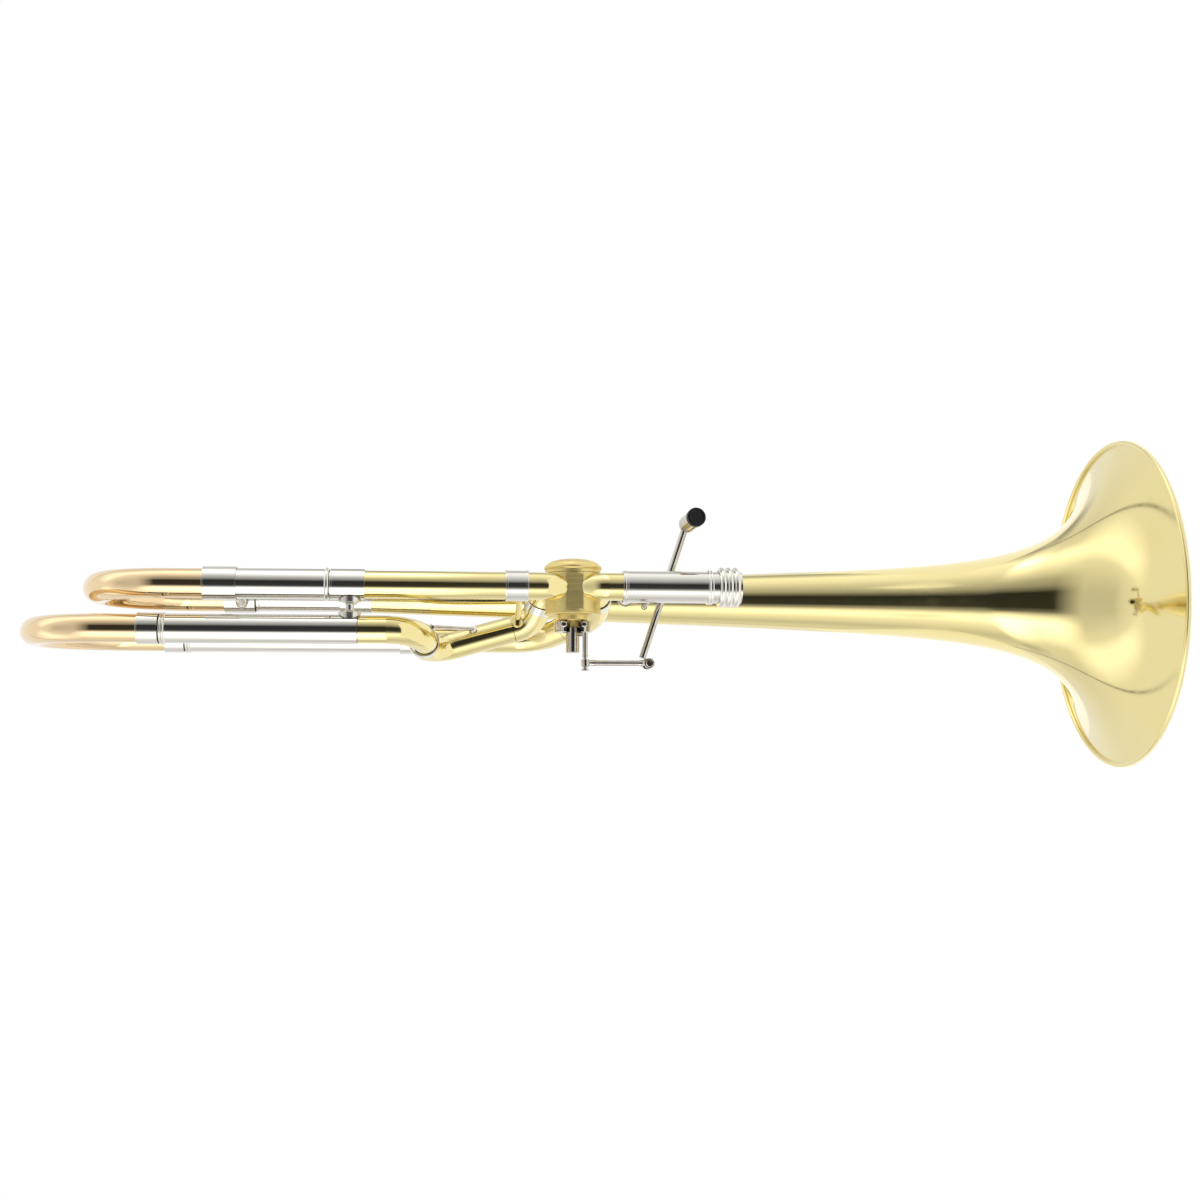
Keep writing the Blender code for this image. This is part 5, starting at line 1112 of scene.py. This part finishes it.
class TROMBONE_OT_braces(bpy.types.Operator):
    """Cast the braces between the lines, the post to the F slide, and the wrap's two stays."""
    bl_idname = "trombone.braces"
    bl_label = "Braces"

    def execute(self, context):
        tubes = context.scene.trombone_tubes
        height = middle_of("receiver_brace")[1]
        brace("receiver_brace", (at_neck(height), RECEIVER),
              (at_bell(height), bell_radius(height) + 0.0003), *STOUT_BRACE)
        near, far = upright("main_fixed_ferrule_near")[3], upright("bell_tail_ferrule")[3]
        height = middle_of("bell_brace")[1]
        brace("bell_brace", (at_neck(height), near), (at_bell(height), far), *STOUT_BRACE)
        height = middle_of("f_drop_post")[1]
        outer = upright("f_inner_tube_near")[3] + tubes.gap + tubes.wall
        brace("f_drop_post", (at_neck(height), near), (at_neck(height, tubes.drop), outer),
              0.0025, 0.0065)
        self.wrap_braces(tubes)
        return {"FINISHED"}

    def wrap_braces(self, tubes):
        """Bracket and stay that hold the bent F tubing."""
        corners = upper_corners()
        radius = tubes.wrap / 2
        start, end, _ = run(corners, UPPER_BENDS, 2)
        near = at_neck(start.z)
        wide = upright("neck_ferrule")[3]
        way = (start - near).normalized()
        face_a, face_b = near + way * wide, start - way * radius
        obj = rod("f_wrap_bracket_brazed", face_a, face_b, 0.0018, SLIM, 0)
        combine(obj, "UNION",
                rod("flange_a", face_a - way * 0.004, face_a + way * 0.0015, 0.0040, SLIM, 0.0003),
                rod("flange_b", face_b - way * 0.0015, face_b + way * 0.004, 0.0040, SLIM, 0.0003))
        combine(obj, "DIFFERENCE",
                through("room_a", near, UP * 0.02, wide + tubes.gap, ROUND),
                drawn_tube("room_b", [seam(corners, UPPER_BENDS, 1)[0], corners[2], end],
                           [UPPER_BENDS[1]], radius + tubes.gap, 0))
        hand_over(obj, "f_wrap_bracket", "lacquered_yellow_brass")

        first = seam(corners, UPPER_BENDS, 3)[0]
        _, centre, axis, angle = bend_at(first, corners[4], corners[5], UPPER_BENDS[3])
        reach = UPPER_BENDS[3] * tan(angle / 2)
        bend_start = corners[4] - (corners[4] - first).normalized() * reach
        place = centre + Matrix.Rotation(angle / 5, 3, axis) @ (bend_start - centre)
        height = corners[3].z - 0.0291
        cross = start + (end - start) * (height - start.z) / (end.z - start.z)
        outside = radius + tubes.gap + 0.0012
        ends = [(place, Vector((1, 0, -1)).normalized()), (cross, Vector((1, -1, 0)).normalized())]
        line = [point + out * (outside - 0.0006) for point, out in ends]
        obj = rod("f_wrap_stay_brazed", line[0], line[1], 0.0012, SLIM, 0)
        for i, (point, out) in enumerate(ends):
            combine(obj, "UNION", rod(f"flange_{i}", point + out * radius * 0.8,
                                      point + out * outside, 0.0025, SLIM, 0.0002))
        combine(obj, "DIFFERENCE",
                drawn_tube("room_elbow", [first, corners[4], corners[5]], [UPPER_BENDS[3]],
                           radius + tubes.gap, 0),
                rod("room_cross", start, end, radius + tubes.gap, ROUND, 0))
        hand_over(obj, "f_wrap_stay", "tumbled_nickel_silver_painted_shade")


class TROMBONE_OT_inside(bpy.types.Operator):
    """Give the pieces inside the valve their metal."""
    bl_idname = "trombone.inside"
    bl_label = "Inside the valve"

    def execute(self, context):
        for node, finish in (("valve_rotor", "brushed_valve_brass"),
                             ("valve_bearing_plate", "tumbled_nickel_silver_painted_shade")):
            obj = frame["nodes"][node]
            for slot in obj.material_slots:
                slot.material = material(finish)
        return {"FINISHED"}


# Light round the object as (degrees from the camera's side towards +X, strength): a dark gap
# behind the camera between two soft boxes, the white backdrop behind the object, and dimmer
# strips between them. The boxes hang level with the object, so they are weaker from below,
# and over them two lamps hang in a paler room
BRIGHTEST = 3.0
LEVEL = ((-180, 1.0), (-155, 0.9), (-130, 1.0), (-105, 0.62), (-92, 1.15), (-72, 2.2),
         (-46, 2.7), (-31, 1.25), (-22, 0.16), (-14, 0.04), (18, 0.03), (25, 0.2), (33, 0.4),
         (45, 0.62), (58, 1.0), (74, 1.6), (90, 2.9), (104, 1.4), (118, 0.75), (135, 0.42),
         (146, 0.45), (154, 0.9), (180, 1.0))
BELOW = ((-180, 1.0), (-130, 1.0), (-92, 0.72), (-63, 1.15), (-45, 1.7), (-36, 1.4),
         (-25, 0.45), (-14, 0.05), (14, 0.03), (22, 0.17), (33, 0.46), (58, 0.82), (75, 1.1),
         (98, 1.3), (114, 0.7), (126, 0.55), (135, 0.9), (180, 1.0))
HIGH = ((-180, 1.0), (-118, 0.85), (-92, 0.95), (-72, 1.5), (-46, 2.1), (-31, 1.1),
        (-22, 0.2), (-14, 0.04), (18, 0.03), (25, 0.2), (33, 0.4), (45, 0.56), (58, 0.9),
        (74, 1.3), (90, 1.7), (104, 1.0), (118, 0.85), (170, 1.0), (180, 1.0))
ABOVE = ((-180, 1.0), (-130, 1.0), (-104, 1.5), (-90, 1.5), (-70, 1.0), (-40, 0.8), (-20, 0.7),
         (0, 0.68), (20, 0.7), (40, 0.8), (70, 1.0), (88, 1.5), (102, 1.5), (128, 1.0),
         (180, 1.0))
# The ring of light that follows each one upwards, and the sines of the angles between them
RINGS = ((BELOW, None), (LEVEL, (-0.02, 0.01)), (HIGH, (0.06, 0.18)), (ABOVE, (0.38, 0.66)))


class TROMBONE_OT_stage(bpy.types.Operator):
    """Set the floor, the studio's light and the camera."""
    bl_idname = "trombone.stage"
    bl_label = "Stage"

    def execute(self, context):
        self.floor()
        self.light(context.scene)
        self.camera(context.scene)
        context.scene.view_settings.view_transform = "Standard"
        return {"FINISHED"}

    def floor(self):
        bpy.ops.object.select_all(action="DESELECT")
        bpy.ops.mesh.primitive_plane_add(size=1.6, location=(0, 0, -0.0004))
        obj = settle("floor")
        mat, tree, shader = new_material("pale_paper")
        # Matt white paper sweep: white to the eye and in reflections, and it keeps the shadow
        shader.inputs["Base Color"].default_value = (*linear("F4F4F2"), 1)
        shader.inputs["Roughness"].default_value = 0.9
        shader.inputs["Specular IOR Level"].default_value = 0.0
        glow = maths(tree, "MULTIPLY", self.seen(tree)[0], FLOOR_GLOW)
        shader.inputs["Emission Color"].default_value = (1, 1, 1, 1)
        tree.links.new(glow, shader.inputs["Emission Strength"])
        obj.data.materials.append(mat)

    def seen(self, tree):
        """1 for rays that the camera, a gloss or a glass sends, and 1 for the camera's alone."""
        path = add_node(tree, "ShaderNodeLightPath")
        camera, gloss, glass = (path.outputs[f"Is {kind} Ray"]
                                for kind in ("Camera", "Glossy", "Transmission"))
        return maths(tree, "MAXIMUM", maths(tree, "MAXIMUM", camera, gloss), glass), camera

    def above(self, tree, parts, low, high, edge):
        """One light below an angle and another above it, with a soft edge."""
        rise = ranged(tree, parts.outputs["Z"], edge)
        return add_node(tree, "ShaderNodeMix",
                        {"Factor": rise, "A": low, "B": high}).outputs[0]

    def seam(self, tree, parts, studio):
        """Thin shadow at both sides where the backdrop ends, at a sine of 0.5 behind."""
        near = maths(tree, "ABSOLUTE", maths(tree, "SUBTRACT", parts.outputs["Y"], 0.5))
        side = maths(tree, "ABSOLUTE", parts.outputs["X"])
        faint = ranged(tree, side, (0.15, 0.45), (1.0, 0.35))
        shade = ranged(tree, near, (0.004, 0.018), (faint, 1.0))
        return maths(tree, "MULTIPLY", studio, shade)

    def light(self, scene):
        world = bpy.data.worlds.new("studio")
        scene.world = world
        world.use_nodes = True
        tree = world.node_tree
        tree.nodes.clear()
        out = add_node(tree, "ShaderNodeOutputWorld")
        coords = add_node(tree, "ShaderNodeTexCoord")
        parts = add_node(tree, "ShaderNodeSeparateXYZ", {0: coords.outputs["Generated"]})
        front = maths(tree, "MULTIPLY", parts.outputs["Y"], -1.0)
        turn = maths(tree, "ARCTAN2", parts.outputs["X"], front)
        place = ranged(tree, turn, (-pi, pi))
        studio = None
        for ring, edge in RINGS:
            ramp = add_node(tree, "ShaderNodeValToRGB", {"Fac": place})
            stops = ramp.color_ramp.elements
            for angle, _ in ring[1:-1]:
                stops.new((angle + 180) / 360)
            for stop, (_, strength) in zip(stops, ring):
                stop.color = (strength / BRIGHTEST,) * 3 + (1,)
            glow = maths(tree, "MULTIPLY", ramp.outputs["Color"], BRIGHTEST)
            studio = self.above(tree, parts, studio, glow, edge) if edge else glow
        studio = self.above(tree, parts, studio, 1.0, (0.93, 1.0))
        studio = self.seam(tree, parts, studio)
        seen, camera = self.seen(tree)
        level = add_node(tree, "ShaderNodeMix",
                         {"Factor": seen, "A": EVEN_LIGHT, "B": studio})
        backdrop = add_node(tree, "ShaderNodeMix",
                            {"Factor": camera, "A": level.outputs[0], "B": 1.0})
        lamp = add_node(tree, "ShaderNodeBackground", {"Color": (1, 1, 1, 1),
                                                       "Strength": backdrop.outputs[0]})
        tree.links.new(lamp.outputs[0], out.inputs["Surface"])

    def camera(self, scene):
        """Camera at the photograph's angle, 48.3 mm lens on a 36 mm square."""
        data = bpy.data.cameras.new("camera")
        data.lens, data.sensor_width, data.sensor_fit = 48.3, 36, "HORIZONTAL"
        data.clip_start, data.clip_end = 0.01, 50
        obj = bpy.data.objects.new("camera", data)
        scene.collection.objects.link(obj)
        forward = Vector((0.0824, 0.9920, -0.0956)).normalized()
        right = Vector((0, -0.0958, -0.9954))
        right = (right - forward * right.dot(forward)).normalized()
        above = right.cross(forward)
        turn = Matrix((right, above, -forward)).transposed().to_4x4()
        obj.matrix_world = Matrix.Translation((-0.0854, -1.0279, 0.4437)) @ turn
        scene.camera = obj


class TROMBONE_PT_panel(bpy.types.Panel):
    """Steps in the order in which the trombone is built."""
    bl_idname = "TROMBONE_PT_panel"
    bl_label = "Trombone"
    bl_space_type = "VIEW_3D"
    bl_region_type = "UI"
    bl_category = "Trombone"

    def draw(self, context):
        for group in GROUPS:
            holder = getattr(context.scene, group)
            box = self.layout.box()
            for key in holder.__annotations__:
                box.prop(holder, key)
        for operator in OPERATORS:
            self.layout.operator(operator.bl_idname)


GROUPS = {"trombone_bell": BellSizes, "trombone_tubes": TubeSizes, "trombone_valve": ValveSizes,
          "trombone_lever": LeverSizes, "trombone_finishes": Finishes}
OPERATORS = (TROMBONE_OT_stage, TROMBONE_OT_bell, TROMBONE_OT_neck, TROMBONE_OT_main_slide,
             TROMBONE_OT_f_slide, TROMBONE_OT_f_wrap, TROMBONE_OT_valve, TROMBONE_OT_lever,
             TROMBONE_OT_braces, TROMBONE_OT_inside)


def register():
    for cls in (*GROUPS.values(), *OPERATORS, TROMBONE_PT_panel):
        bpy.utils.register_class(cls)
    for name, group in GROUPS.items():
        setattr(bpy.types.Scene, name, PointerProperty(type=group))


def unregister():
    for name in GROUPS:
        delattr(bpy.types.Scene, name)
    for cls in (TROMBONE_PT_panel, *reversed(OPERATORS), *reversed(GROUPS.values())):
        bpy.utils.unregister_class(cls)


def main():
    register()
    for operator in OPERATORS:
        group, name = operator.bl_idname.split(".")
        getattr(getattr(bpy.ops, group), name)()
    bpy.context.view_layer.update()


if __name__ == "__main__":
    main()
